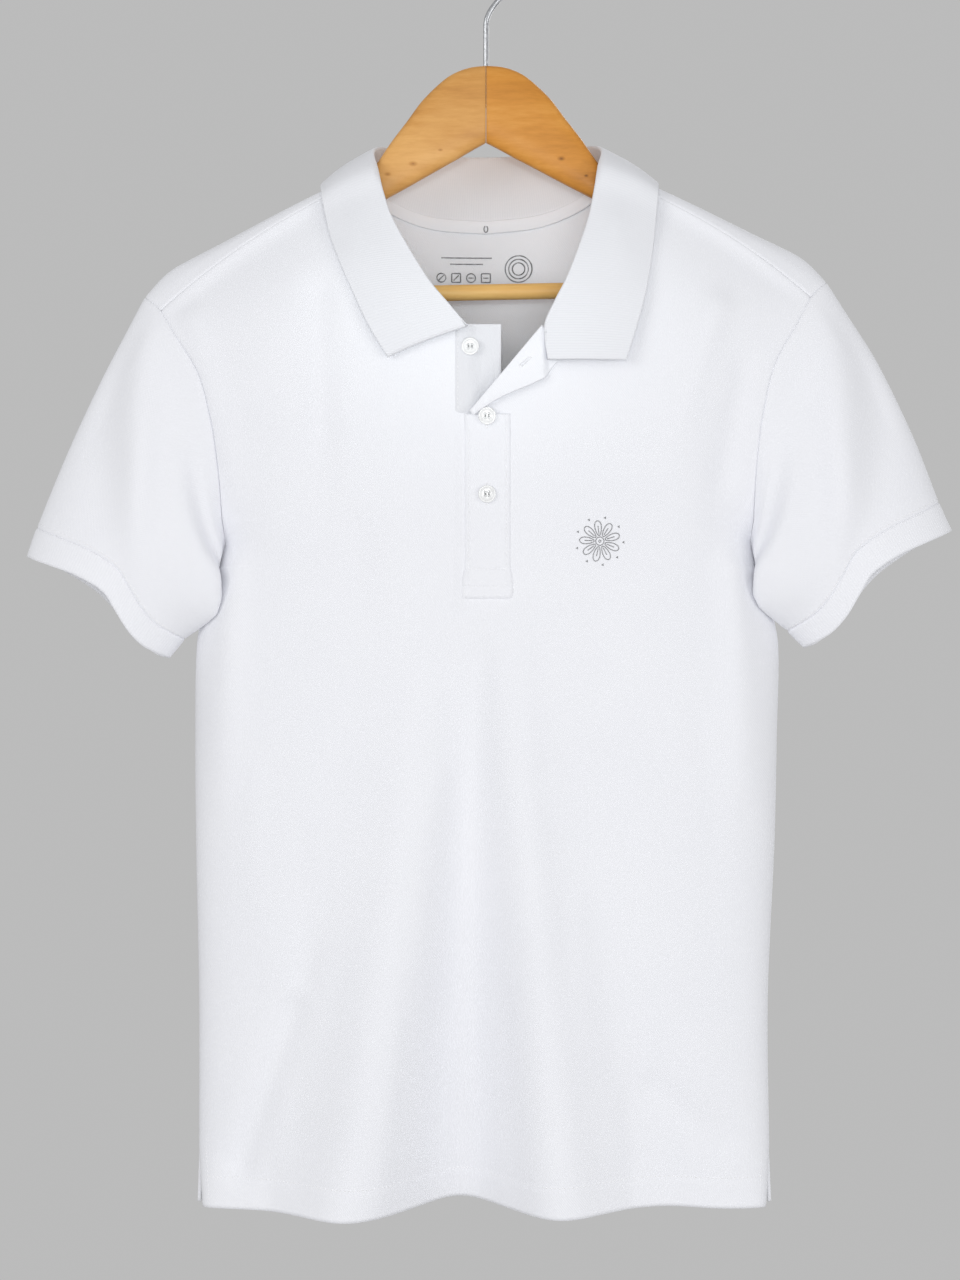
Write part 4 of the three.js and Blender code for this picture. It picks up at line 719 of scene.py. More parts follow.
def woodMaterial(name, dark, mid, light, stretch, scale=1.0, knots=()):
    # Grain: noise drawn out along the piece, fine pores and a slow change of tone, under varnish
    material, tree, shader = nodesOf(name)
    place = tree.nodes.new("ShaderNodeTexCoord").outputs["Object"]
    mapping = tree.nodes.new("ShaderNodeMapping")
    mapping.inputs["Scale"].default_value = stretch
    link(tree, place, mapping.inputs["Vector"])
    drawn = mapping.outputs["Vector"]
    grain = noiseNode(tree, drawn, 55 * scale, 6, 0.62)
    pores = noiseNode(tree, drawn, 420 * scale, 3, 0.7)
    slow = noiseNode(tree, place, 9, 2)
    tone = mathNode(tree, "ADD", mathNode(tree, "MULTIPLY", grain, 0.55),
                    mathNode(tree, "ADD", mathNode(tree, "MULTIPLY", pores, 0.2),
                             mathNode(tree, "MULTIPLY", slow, 0.25)))
    for x, z, reach in knots:
        flat = tree.nodes.new("ShaderNodeVectorMath")
        flat.operation = "MULTIPLY"
        flat.inputs[1].default_value = (1, 0, 1.7)
        link(tree, place, flat.inputs[0])
        away = tree.nodes.new("ShaderNodeVectorMath")
        away.operation = "DISTANCE"
        away.inputs[1].default_value = (x, 0, 1.7 * z)
        link(tree, flat.outputs["Vector"], away.inputs[0])
        near = mathNode(tree, "SUBTRACT", 1, mathNode(tree, "MULTIPLY", away.outputs["Value"], 1 / reach))
        near = mathNode(tree, "MAXIMUM", near, 0)
        tone = mathNode(tree, "SUBTRACT", tone, mathNode(tree, "MULTIPLY", near, 0.32))
    deep = tuple(0.4 * part for part in dark)
    link(tree, rampNode(tree, tone, [(0.18, deep), (0.34, dark), (0.5, mid), (0.66, light)]),
         shader.inputs["Base Color"])
    link(tree, bumpNode(tree, pores, 0.00008, 0.35), shader.inputs["Normal"])
    shader.inputs["Roughness"].default_value = 0.45
    shader.inputs["Specular IOR Level"].default_value = 0.2
    shader.inputs["Coat Weight"].default_value = 0.05
    shader.inputs["Coat Roughness"].default_value = 0.2
    return material


def steelMaterial():
    material, tree, shader = nodesOf("hookSteel")
    place = tree.nodes.new("ShaderNodeTexCoord").outputs["Object"]
    marks = noiseNode(tree, place, 500, 3)
    link(tree, rampNode(tree, marks, [(0.3, (0.42, 0.43, 0.45)), (0.7, (0.62, 0.63, 0.65))]),
         shader.inputs["Base Color"])
    link(tree, bumpNode(tree, marks, 0.00004, 0.3), shader.inputs["Normal"])
    shader.inputs["Metallic"].default_value = 1.0
    shader.inputs["Roughness"].default_value = 0.26
    return material


def buttonMaterial():
    material, tree, shader = nodesOf("buttonWhite")
    place = tree.nodes.new("ShaderNodeTexCoord").outputs["Object"]
    pearl = noiseNode(tree, place, 160, 3)
    link(tree, rampNode(tree, pearl, [(0.3, (0.8, 0.805, 0.81)), (0.7, (0.88, 0.885, 0.89))]),
         shader.inputs["Base Color"])
    link(tree, bumpNode(tree, pearl, 0.00005, 0.2), shader.inputs["Normal"])
    shader.inputs["Roughness"].default_value = 0.24
    shader.inputs["Coat Weight"].default_value = 0.4
    shader.inputs["Coat Roughness"].default_value = 0.1
    return material


pique = piqueMaterial("piqueKnit")
# painted shade: the underlap band is recessed behind the front and under the collar leaf, so its knit is a darker copy
# of the white piqué
underlapShadePique = piqueMaterial("underlapKnitPaintedShade", 0.88)
# painted shade: the collar's rib is a darker copy of the white knit, to offset the extra light of the neck lamp
collarRibPaintedShade = ribMaterial("collarRibPaintedShade", 1.7, 0.0001, tone=0.91)
cuffRib = ribMaterial("cuffRib", 1.9, 0.00014)
tapeCloth = ribMaterial("tapeCloth", 0.9, 0.00006)
whiteThread = threadMaterial("whiteThread", (0.93, 0.93, 0.945))
greyThread = threadMaterial("greyThread", (0.2, 0.2, 0.205))
# painted shade: the button threads are dark grey so that the four wells read as shaded holes
buttonWellShadeThread = threadMaterial("buttonWellShadeThread", (0.3, 0.3, 0.31))
armWoodLeft = woodMaterial("beechLeft", (0.46, 0.2, 0.052), (0.61, 0.3, 0.083), (0.73, 0.4, 0.135), (0.16, 1, 1),
                           knots=((-0.048, -0.158, 0.0035), (-0.0647, -0.165, 0.0028), (-0.03, -0.149, 0.002)))
armWoodRight = woodMaterial("beechRight", (0.455, 0.176, 0.028), (0.62, 0.264, 0.046), (0.745, 0.368, 0.092),
                            (0.16, 1, 1), knots=((0.0495, -0.1547, 0.0032), (0.066, -0.166, 0.002)))
barWood = woodMaterial("barWood", (0.66, 0.355, 0.104), (0.8, 0.47, 0.152), (0.88, 0.57, 0.207), (0.1, 1, 1), 1.3)
steel = steelMaterial()
buttonWhite = buttonMaterial()
print("materials ready")

# Body panels

lapel = {"foot": (-10.5, -326.5), "top": (38, -268.5), "corner": (37.5, -302.5), "seamEnd": (40.5, -291),
         "lift": 3.2, "rest": 0.44, "band": 1.4, "steps": 42, "columns": 30}


def withUv(grid):
    return np.concatenate([grid, flatUv(grid)], -1)


def outOf(edge, back):
    # Rough outward direction along a side edge: from the armhole's middle above the underarm
    side = np.sign(edge[:, 0])
    plain = np.stack([side * 0.5, np.full(len(edge), 1.0 if back else -1.0), 0 * side], -1)
    middle = np.stack([side * 205, 0 * side + 4, 0 * side - 335], -1)
    return np.where(edge[:, 2:3] > body["underarm"] + 2, edge[:, :3] - middle, plain)


def makeFront():
    # Two halves, each from its side edge to the centre, welded below the slit
    half = body["shoulderColumns"] + body["frontNeckColumns"]
    lower = bodyGrid(True, half)
    centre = half * body["fine"]
    halves = {}
    for side, part in ((-1, lower[:, :centre + 1]), (1, lower[:, centre:][:, ::-1])):
        halves[side] = np.concatenate([part, frontUpper(side, part[-1])[1:]])
    low = len(lower) + body["slitRow"] * body["fine"]
    halves[1][:low, -1] = halves[-1][:low, -1]
    patch = Patch()
    for side in (-1, 1):
        grid = withUv(halves[side])
        grid = turnIn(grid, "left", outOf(grid[:, 0], False))
        grid = turnIn(grid, "top", np.array([0, -1, 0.3]))
        patch.grid(grid[..., :3], grid[..., 3:], turned=side > 0)
    piece = thicken(patch.build("front"), body["wall"])
    return finishPiece(piece, pique, ["front_panel"]), halves


def makeBack():
    half = body["shoulderColumns"] + body["backNeckColumns"]
    lower = bodyGrid(False, half)
    upper = backUpper(lower[-1], lower[-1 - body["fine"]])
    whole = np.concatenate([lower, upper[1:]])
    first, last = len(lower) - 14, len(lower) + (body["ringHalf"] - 2) * body["fine"]
    depth = whole[first:last, :, 1]
    for _ in range(90):
        mean = (depth[:-2, 1:-1] + depth[2:, 1:-1] + depth[1:-1, :-2] + depth[1:-1, 2:]) / 4
        depth[1:-1, 1:-1] = blend(depth[1:-1, 1:-1], mean, 0.8)
    patch = Patch()
    grid = withUv(whole)
    for edge, line in (("left", grid[:, 0]), ("right", grid[:, -1])):
        grid = turnIn(grid, edge, outOf(line, True))
    grid = turnIn(grid, "top", np.array([0, -0.6, 1]))
    patch.grid(grid[..., :3], grid[..., 3:], turned=True)
    piece = thicken(patch.build("back"), body["wall"])
    return finishPiece(piece, pique, ["back_panel"]), whole


front, frontHalves = makeFront()
back, backWhole = makeBack()
print("panels made")

# Sleeves and cuffs


def sleeveFolds(side, points, along, step):
    # Hanging creases of the sleeve: rise exp(-((part - line) / wide)^2) along lines that run down it,
    # and the lip over the body's side, kept in front of the front panel
    part = (1 + np.cos(np.pi * step / body["ringHalf"])) / 2 + 0 * along
    ahead = (step < body["ringHalf"]) + 0 * part
    low = np.clip(along, 0, 1) + 0 * part
    y = points[..., 1].copy()
    x = points[..., 0].copy()
    for start, end, rise, wide in sleeve["creases"][side]:
        bell = np.exp(-((part - blend(start, end, low)) / wide) ** 2)
        y -= rise * bell * np.sin(np.pi * low ** 0.8) * ahead * smooth(part / 0.1)
    lip = np.interp(low, sleeve["lipPlaces"], sleeve["lip"][side])
    lip = lip * np.exp(-((1 - part) / np.where(ahead > 0, 0.24, 0.05)) ** 2)
    x -= side * lip
    clear = frontDepth(x, points[..., 2]) - 2.4 * np.minimum(along / 0.2, 1)
    inside = np.maximum(ahead, part > 0.96) * (np.abs(acrossBody(x, points[..., 2])) < 0.999) * (part > 0.6)
    push = smooth((low - 0.01) / 0.06) * inside * np.maximum(y - clear, 0)
    for turn in range(220):
        push = np.maximum(push, (np.roll(push, 1, 1) + np.roll(push, -1, 1)) / 2 * (ahead + (part > 0.9) > 0))
    y -= push
    lift = sleeve["backLift"] * (1 - ahead) * np.sin(np.pi * part) * smooth((along - 0.45) / 0.55)
    return np.stack([x, y, points[..., 2] + lift], -1)


def makeSleeve(side, name, low, high, rows, wall, material, node):
    along = np.linspace(low, high, rows + 1)[:, None]
    step = (np.arange(sleeve["around"]) * 2 * body["ringHalf"] / sleeve["around"])[None, :]
    points = sleeveFolds(side, ringPoint(side, along, step), along, step)
    uv = lengthUv(points, closed=True)
    closed = np.concatenate([points, points[:, :1]], 1)
    grid = np.concatenate([closed, uv], -1)
    for edge in ("bottom", "top"):
        if edge == "top" and high > 1:
            continue
        line = grid[0 if edge == "bottom" else -1, :, :3]
        grid = turnIn(grid, edge, line - line.mean(0))
    patch = Patch()
    patch.grid(grid[..., :3], grid[..., 3:], turned=side > 0)
    piece = thicken(patch.build(name), wall)
    finishPiece(piece, material, [node])
    return piece, points


sleeves = {}
for side, word in ((-1, "left"), (1, "right")):
    arm, armPoints = makeSleeve(side, "sleeve_" + word + "_cloth", 0, 1, sleeve["rows"], body["wall"],
                                pique, "sleeve_" + word)
    cuff, cuffPoints = makeSleeve(side, "cuff_" + word + "_rib", 1, 1.2, sleeve["cuffRows"], sleeve["cuffWall"],
                                  cuffRib, "cuff_" + word)
    sleeves[side] = (armPoints, cuffPoints)
print("sleeves made")

# Collar

# step, roll x y z, edge x y z
collarLeft = [
    (0, -12.3, -53.5, -269.5, -63.5, -53, -289.3), (1, -24.5, -53, -255, -76.2, -52, -268),
    (2, -37, -49.5, -239.5, -86.5, -46, -246), (4, -61.5, -32, -196, -101, -32, -210),
    (6, -71, -15.5, -163, -107.5, -16, -180), (7, -74, -1, -150, -108, -1, -171.4),
    (8, -68.5, 18, -144.8, -101, 21, -174.5), (9, -56, 32, -146, -80, 40, -184.5),
    (10, -31, 44, -147.5, -44, 54.5, -193), (11, 0, 47.5, -148, 0, 58.5, -195.5)]
collarRight = [
    (11, 0, 47.5, -148, 0, 58.5, -195.5), (12, 32, 44, -147, 45, 54.5, -192),
    (13, 57, 32, -145.5, 82, 40, -183), (14, 70, 18, -144, 104, 21, -173),
    (15, 76, -1, -149, 112, -1, -170.4), (16, 73.5, -15.5, -161, 112.5, -16, -177.5),
    (18, 66.5, -32, -197, 109, -33, -212), (20, 52, -50, -238, 104, -47, -243),
    (22, 38.5, -56.5, -267, 97, -53, -270), (24, 40.5, -57.5, -291, 90, -56, -291.4)]
collar = {"stand": 3, "fall": 6, "spread": 3.4, "rest": 4.0, "wall": 1.9, "fine": 8}


def restOnShirt(points, onFront):
    # Kept clear of the front, and above the cloth where it rides over the hanger's shoulder
    x, y, z = points[..., 0], points[..., 1], points[..., 2]
    y = np.where(onFront, np.minimum(y, frontDepth(x, z) - collar["rest"]), y)
    nearRidge = (np.abs(x) > 82) & (y > -19) & (y < 12)
    drop = 8 * ((y - 1) / 16) ** 2
    z = np.where(nearRidge, np.maximum(z, ridgeHeight(x) - drop + collar["rest"]), z)
    return np.stack([x, y, z], -1)


def collarNet():
    # For each step of the neckline: up the stand, over the roll and down the leaf to its edge
    left = frontNeckline(-1, np.arange(7.0))[::-1]
    right = frontNeckline(1, np.arange(7.0))
    loop = np.concatenate([left, backNeckline(np.arange(1.0, 10)), right])
    last = loop[-1].copy()
    end = np.array([lapel["seamEnd"][0], last[1] - lapel["lift"], lapel["seamEnd"][1]])
    turned = last - np.array([0, 0.75 * lapel["lift"], 0])
    loop = np.concatenate([loop[:-1], [turned], [(turned + end) / 2], [end]])
    step = np.arange(len(loop))
    table = np.where(step[None] <= 11, tableAt(collarLeft, step), tableAt(collarRight, step))
    roll, edge = table[:3].T, table[3:].T
    onFront = (step < 7) | (step > 15)
    edge = restOnShirt(edge, onFront)
    flat = np.clip((24 - step) / 3, 0.25, 1) * np.clip((step + 1) / 3, 0.4, 1)
    away = (edge - roll) * [1, 1, 0]
    away /= np.linalg.norm(away, axis=1, keepdims=True)
    stand = [blend(loop, roll, k / collar["stand"]) for k in range(collar["stand"])]
    spread = (collar["spread"] * flat)[:, None]
    start = roll + away * spread - np.array([0, 0, 0.25]) * spread
    length = np.linalg.norm(edge - start, axis=1)
    fall = []
    for k in range(collar["fall"] + 1):
        part = k / collar["fall"]
        arch = (np.sin(np.pi * part) * length * 0.05 * flat)[:, None]
        fall.append(restOnShirt(blend(start, edge, part) + away * arch + np.array([0, 0, 0.6]) * arch, onFront))
    return np.stack([*stand, roll + away * spread * 0.15, *fall], axis=1)


def makeCollar():
    net = collarNet()
    points = refine(refine(net, collar["fine"], 0), collar["fine"], 1)
    patch = Patch()
    patch.grid(points, lengthUv(points.swapaxes(0, 1)).swapaxes(0, 1))
    piece = thicken(patch.build("collar_rib"), collar["wall"])
    finishPiece(piece, collarRibPaintedShade, ["collar"])
    return piece, points


collarPiece, collarPoints = makeCollar()
print("collar made")

# Placket

placket = {"left": -13.4, "width": 28.5, "bottom": -445, "lift": 1.75, "band": 1.3,
           "stitchX": (-11.3, 12.9), "boxTop": -425.5, "boxFoot": -437,
           "underLeft": -20.5, "underRight": 9.5, "underBottom": -438, "slideOver": 12}


def edgeSpaced(low, high, count, fine=1.4):
    # Evenly spaced places with a few more close to both ends
    near = np.array([0, 0.2, 0.45, 0.8, 1.2]) * fine
    return np.concatenate([low + near, np.linspace(low + 2 * fine, high - 2 * fine, count), high - near[::-1]])


def overlapLift(x, z):
    # Lift times 1 - exp(-(d / 1.2)^2) from each edge, so that the edges sink into the front
    left, right = placket["left"] - 0.6, placket["left"] + placket["width"] + 0.6
    fromLeft, fromRight, fromFoot = x - left, right - x, z - placket["bottom"]
    sunk = np.exp(-(fromLeft / 1.1) ** 2) + np.exp(-(fromRight / 1.1) ** 2) + np.exp(-(fromFoot / 1.1) ** 2)
    quilt = 0
    for line in placket["stitchX"]:
        quilt = quilt + np.exp(-((x - line) / 0.8) ** 2) * (z > placket["boxTop"] - 9)
    for line in (placket["boxTop"], placket["boxFoot"]):
        quilt = quilt + np.exp(-((z - line) / 0.8) ** 2)
    puff = 0.5 * np.exp(-((z - (placket["boxTop"] + placket["boxFoot"]) / 2) / 5) ** 2)
    return placket["lift"] * (1 - np.minimum(sunk, 1)) - 0.45 * np.minimum(quilt, 1) + puff * (1 - np.minimum(sunk, 1))


def makeOverlap():
    x = edgeSpaced(placket["left"] - 0.6, placket["left"] + placket["width"] + 0.6, 54)[None, :]
    z = np.concatenate([edgeSpaced(placket["bottom"], placket["boxTop"] + 4, 34)[:-1],
                        np.linspace(placket["boxTop"] + 4, body["slit"] + 1, 76)])[:, None]
    # wider at its foot, where the box of stitching presses it flat
    widen = 1 + 0.11 * np.exp(-(np.maximum(z - placket["boxFoot"], 0) / 9) ** 2)
    middle = placket["left"] + placket["width"] / 2
    lift = overlapLift(x + 0 * z, z + 0 * x)
    x = middle + (x - middle) * widen
    z = z + 0 * x
    points = np.stack([x, frontDepth(x, z) - lift, z], -1)
    patch = Patch()
    patch.grid(points, flatUv(points))
    piece = thicken(patch.build("overlap_band"), placket["band"])
    return finishPiece(piece, pique, ["placket_overlap"]), points


slitLine = [(-345, -10.5), (-326.5, -10.5), (-300, -14.2), (-268.5, -18.5), (-250, -21)]


def underlapLift(x, z):
    # In front of the slit's edge at its left, behind the front further right and below the slit
    slit = tableAt(slitLine, z)[0]
    over = 1 - smooth((x - slit - 0.8) / placket["slideOver"])
    above = smooth((z - body["slit"] + 3) / 7)
    sunk = np.exp(-((x - placket["underLeft"]) / 1.6) ** 2)
    return blend(-2.28, 0.7 - 0.8 * sunk, over * above)


def makeUnderlap():
    x = edgeSpaced(placket["underLeft"], placket["underRight"], 44)[None, :]
    z = np.concatenate([np.linspace(placket["underBottom"], body["slit"] - 8, 40)[:-1],
                        edgeSpaced(body["slit"] - 8, body["neck"] + 1, 70)])[:, None]
    x, z = x + 0 * z, z + 0 * x
    fold = 0.5 * np.exp(-((x - placket["underRight"] + 1.5) / 1.6) ** 2)
    points = np.stack([x, frontDepth(x, z) - underlapLift(x, z) - fold, z], -1)
    patch = Patch()
    patch.grid(points, flatUv(points))
    piece = thicken(patch.build("underlap_band"), placket["band"])
    # the darker knit here is painted shade of the band's recess
    return finishPiece(piece, underlapShadePique, ["placket_underlap"]), points


overlap, overlapPoints = makeOverlap()
underlap, underlapPoints = makeUnderlap()


def makeLapel():
    # Rows from the slit's foot up to the collar, columns from the fold line to the free edge
    part = np.linspace(0, 1, lapel["steps"] + 1)[:, None]
    over = np.linspace(0, 1, lapel["columns"] + 1)[None, :]
    foldX = blend(lapel["foot"][0], lapel["top"][0] - 2, part)
    foldZ = blend(lapel["foot"][1] + 2.4, lapel["top"][1], part)
    edgePart = np.minimum(part * 1.35, 1)
    endPart = np.maximum((part * 1.35 - 1) / 0.35, 0)
    freeX = blend(blend(lapel["foot"][0] + 2, lapel["corner"][0], edgePart), lapel["seamEnd"][0] + 6, endPart)
    rise = 4 * np.sin(np.pi * edgePart) * (1 - edgePart)
    freeZ = blend(blend(lapel["foot"][1], lapel["corner"][1], edgePart) + rise, lapel["seamEnd"][1], endPart)
    x, z = blend(foldX, freeX, over), blend(foldZ, freeZ, over)
    puff = lapel["lift"] * np.sin(np.pi * (0.25 + 0.6 * over)) * (0.5 + 0.5 * part)
    lift = blend(1.4 + 2 * lapel["rest"] + lapel["band"] + puff, 1.6, smooth((x - 36) / 5))
    y = frontDepth(x, z) - lift
    points = np.stack([x, y, z], -1)
    patch = Patch()
    patch.grid(points, flatUv(points))
    piece = thicken(patch.build("lapel_band"), lapel["band"])
    return finishPiece(piece, pique, ["placket_lapel"]), points


lapelPiece, lapelPoints = makeLapel()
print("placket made")

# Sewing


def onFront(x, z, above):
    # Points just above the front's outer face
    x, z = np.broadcast_arrays(np.asarray(x, float), np.asarray(z, float))
    return np.stack([x, frontDepth(x, z) - body["wall"] / 2 - above, z], -1)


def outwardsOf(points, back=False):
    return np.tile([0, 1.0 if back else -1.0, 0], (len(points), 1))


def seam(name, points, back=False, radius=0.26, pitch=2.9, length=2.3, sink=0.0):
    return stitches(name, points, outwardsOf(points, back), whiteThread, pitch, length, radius, sink)


def sewBody():
    share = np.linspace(-0.955, 0.955, 700)
    height = body["hem"] + body["hemDepth"]
    for word, back in (("front", False), ("back", True)):
        line = bodyPoint(share, np.full(share.shape, height), not back)
        line[:, 1] += (body["wall"] / 2 - 0.05) * (1 if back else -1)
        seam("hem_stitch_" + word, line, back, radius=0.36)
        for side in (-1, 1):
            # facing of the side vent: up one side of the slit, and across above it
            up = np.linspace(body["hem"] + 1, body["vent"] + 9, 120)
            edge = np.full(up.shape, side * 0.955)
            line = bodyPoint(edge, up, not back)
            across = np.linspace(0.955, 0.993, 24)
            line = np.concatenate([line, bodyPoint(side * across, np.full(across.shape, body["vent"] + 9), not back)])
            line[:, 1] += (body["wall"] / 2) * (1 if back else -1)
            seam("vent_stitch_" + word + ("_left" if side < 0 else "_right"), line, back)


def sewPlacket():
    left, right = placket["stitchX"]
    top, boxTop, boxFoot = body["slit"] - 6, placket["boxTop"], placket["boxFoot"]
    corners = [(left, top), (left, boxFoot), (right, boxFoot), (right, top)]
    lines = [corners[:2], corners[1:3], corners[2:], [(left, boxTop), (right, boxTop)]]
    for index, ((x0, z0), (x1, z1)) in enumerate(lines):
        part = np.linspace(0, 1, 90)
        x, z = blend(x0, x1, part), blend(z0, z1, part)
        lift = overlapLift(x, z) + placket["band"] / 2
        line = np.stack([x, frontDepth(x, z) - lift - 0.05, z], -1)
        seam("placket_stitch_" + str(index), line, radius=0.22, pitch=2.6, length=2.0)
    z = np.linspace(body["slit"] + 4, body["neck"] - 2, 60)
    x = np.full(z.shape, placket["underLeft"] + 2.2)
    line = np.stack([x, frontDepth(x, z) - underlapLift(x, z) - placket["band"] / 2, z], -1)
    seam("underlap_stitch", line, radius=0.2, pitch=2.6, length=2.0)


def buttonhole(name, centre, angle, half, lift):
    # Two close rows of short bars each side of a slot, with a bar across each end
    for side in (-1, 1):
        run = np.linspace(-half, half, 40)
        x = centre[0] + run * math.cos(angle) - side * 0.75 * math.sin(angle)
        z = centre[1] + run * math.sin(angle) + side * 0.75 * math.cos(angle)
        line = np.stack([x, frontDepth(x, z) - lift(x, z), z], -1)
        seam(name + ("_upper" if side > 0 else "_lower"), line, radius=0.34, pitch=0.62, length=0.56)
    for end in (-1, 1):
        run = np.linspace(-1, 1, 8)
        x = centre[0] + end * half * math.cos(angle) - run * math.sin(angle)
        z = centre[1] + end * half * math.sin(angle) + run * math.cos(angle)
        line = np.stack([x, frontDepth(x, z) - lift(x, z), z], -1)
        seam(name + ("_end" if end > 0 else "_start"), line, radius=0.4, pitch=2.1, length=2.0)


def sewSleeves():
    for side, word in ((-1, "left"), (1, "right")):
        armPoints = sleeves[side][0]
        step = np.linspace(0, 24, 500)
        for name, along in (("hem", 0.978),):
            rings = ringPoint(side, np.array([[along - 0.01], [along], [along + 0.01]]), step[None, :])
            rings = sleeveFolds(side, rings, np.array([[along - 0.01], [along], [along + 0.01]]), step[None, :])
            normal = gridNormals(rings)[1]
            centre = rings[1].mean(0)
            normal *= np.sign(np.sum(normal * (rings[1] - centre), axis=1, keepdims=True))
            line = rings[1] + normal * (body["wall"] / 2)
            stitches("sleeve_stitch_" + word, line, normal, whiteThread, 2.9, 2.3, 0.24)


sewBody()
sewPlacket()
sewSleeves()
buttonhole("lapel_hole", (25.2, -292.5), 0.72, 4.4,
           lambda x, z: 1.4 + 2 * lapel["rest"] + lapel["band"] * 1.5 + 2.9 + 0 * x)
for index, z in enumerate((-327.5, -377.3)):
    buttonhole("placket_hole_" + str(index), (0.6, z), math.pi / 2, 6.9,
               lambda x, z: overlapLift(x, z) + placket["band"] / 2 - 0.1)
print("sewing made")

# Small decoration: a rosette on the chest and plain marks inside the neck

rosette = {"x": 73.5, "z": -407.6, "petals": 9, "reach": 13.2, "heart": 3.6, "rim": 15.4, "turn": 0.3}


def makeRosette():
    # Each petal's outline: reach times the sine of the half turn along it, spread by a sine of the full turn
    turn = np.linspace(0, 2 * np.pi, 70)
    lines = []
    for petal in range(rosette["petals"]):
        angle = rosette["turn"] + petal * 2 * math.pi / rosette["petals"]
        out = rosette["heart"] + (rosette["reach"] - rosette["heart"]) * (1 - np.cos(turn)) / 2
        off = 2.7 * np.sin(turn) * (0.55 + 0.45 * (1 - np.cos(turn)) / 2)
        lines.append((out * math.cos(angle) - off * math.sin(angle), out * math.sin(angle) + off * math.cos(angle)))
        stem = np.linspace(rosette["heart"] + 1.2, rosette["reach"] - 3.2, 20)
        lines.append((stem * math.cos(angle), stem * math.sin(angle)))
        dot = rosette["rim"] * np.array([math.cos(angle + 0.35), math.sin(angle + 0.35)])
        lines.append((dot[0] + 0.5 * np.cos(turn), dot[1] + 0.5 * np.sin(turn)))
    lines.append((rosette["heart"] * 0.75 * np.cos(turn), rosette["heart"] * 0.75 * np.sin(turn)))
    lines.append((0.8 * np.cos(turn), 0.8 * np.sin(turn)))
    for index, (x, z) in enumerate(lines):
        line = onFront(rosette["x"] + x, rosette["z"] + z, 0.02)
        stitches("rosette_" + str(index), line, outwardsOf(line), greyThread, 0.85, 0.95, 0.37, 0.08)


def depthOn(grid, x, z):
    # Depth of a grid at x and z: mean of its six nearest points, weighted by 1 / distance squared
    near = grid.reshape(-1, 3)
    away = (near[None, :, 0] - x[:, None]) ** 2 + (near[None, :, 2] - z[:, None]) ** 2
    best = np.argpartition(away, 6, axis=1)[:, :6]
    weight = 1 / (np.take_along_axis(away, best, 1) + 0.02)
    return np.sum(near[best][..., 1] * weight, axis=1) / weight.sum(1)


def makeMarks():
    # Care marks of plain shapes, printed on the inside of the back below the neck
    ink = threadMaterial("greyInk", (0.13, 0.13, 0.135))
    turn = np.linspace(0, 2 * np.pi, 40)
    lines = []
    for row, (start, end) in enumerate(((-30, 4), (-24, -2))):
        lines.append((np.linspace(start, end, 20), np.full(20, -214.5 - 4.2 * row)))
    for index in range(4):
        centre = -30 + 10 * index
        box = np.array([(-3, -3), (3, -3), (3, 3), (-3, 3), (-3, -3)]) if index % 2 else None
        x = centre + (np.interp(np.linspace(0, 4, 40), range(5), box[:, 0]) if index % 2 else 3 * np.cos(turn))
        z = -228 + (np.interp(np.linspace(0, 4, 40), range(5), box[:, 1]) if index % 2 else 3 * np.sin(turn))
        lines.append((x, z))
        lines.append((np.linspace(centre - 1.8, centre + 1.8, 12), np.linspace(-229.8, -226.2, 12) if index < 2
                      else np.full(12, -228.0)))
    for ring in (4.2, 6.6, 9):
        lines.append((22 + ring * np.cos(turn), -222 + ring * np.sin(turn)))
    inside = backWhole[(backWhole[..., 2] < -190) & (backWhole[..., 1] > 5)]
    for index, (x, z) in enumerate(lines):
        x, z = np.broadcast_arrays(np.asarray(x, float), np.asarray(z, float))
        line = np.stack([x, depthOn(inside, x, z) - body["wall"] / 2 - 0.06, z], -1)
        stitches("care_mark_" + str(index), line, outwardsOf(line), ink, 0.8, 1.0, 0.5, 0.2)


makeRosette()
makeMarks()
print("decoration made")

# Neck tape

tape = {"seat": 1.7, "above": 4, "below": 4.5, "wall": 0.8, "from": 2.5, "to": 7.5}


def makeTape():
    # Over the join of collar and back: half of it up the collar's stand, half down the back
    step = np.linspace(tape["from"], tape["to"], 121)
    neck = backNeckline(step)
    inward = np.stack([-neck[:, 0], -neck[:, 1] - 60, 0 * neck[:, 0]], -1)
    inward /= np.linalg.norm(inward, axis=1, keepdims=True)
    place = (6 + step) * collar["fine"]
    row = np.arange(len(collarPoints))
    third = np.stack([np.interp(place, row, collarPoints[:, collar["fine"], k]) for k in range(3)], -1)
    up = third - neck
    up /= np.linalg.norm(up, axis=1, keepdims=True)
    offset = np.linspace(tape["above"], -tape["below"], 13)[:, None, None]
    points = neck[None] + np.where(offset > 0, up[None] * offset, np.array([0, 0, 1.0]) * offset)
    points = points + inward[None] * (tape["seat"] - 0.25 * np.abs(offset) / 4)
    patch = Patch()
    patch.grid(points, lengthUv(points))
    return finishPiece(thicken(patch.build("neck_tape_band"), tape["wall"]), tapeCloth, ["neck_tape"]), points


tapePiece, tapePoints = makeTape()
print("tape made")

# Buttons

button = {"radius": 5.8, "thick": 2.4, "hole": 0.8, "holeReach": 1.65, "rings": 64, "around": 96}
buttonPlaces = {"button_top": (-10.3, -282, 0.5), "button_middle": (0.6, -327, 2.6), "button_low": (0.6, -377.3, 2.5)}


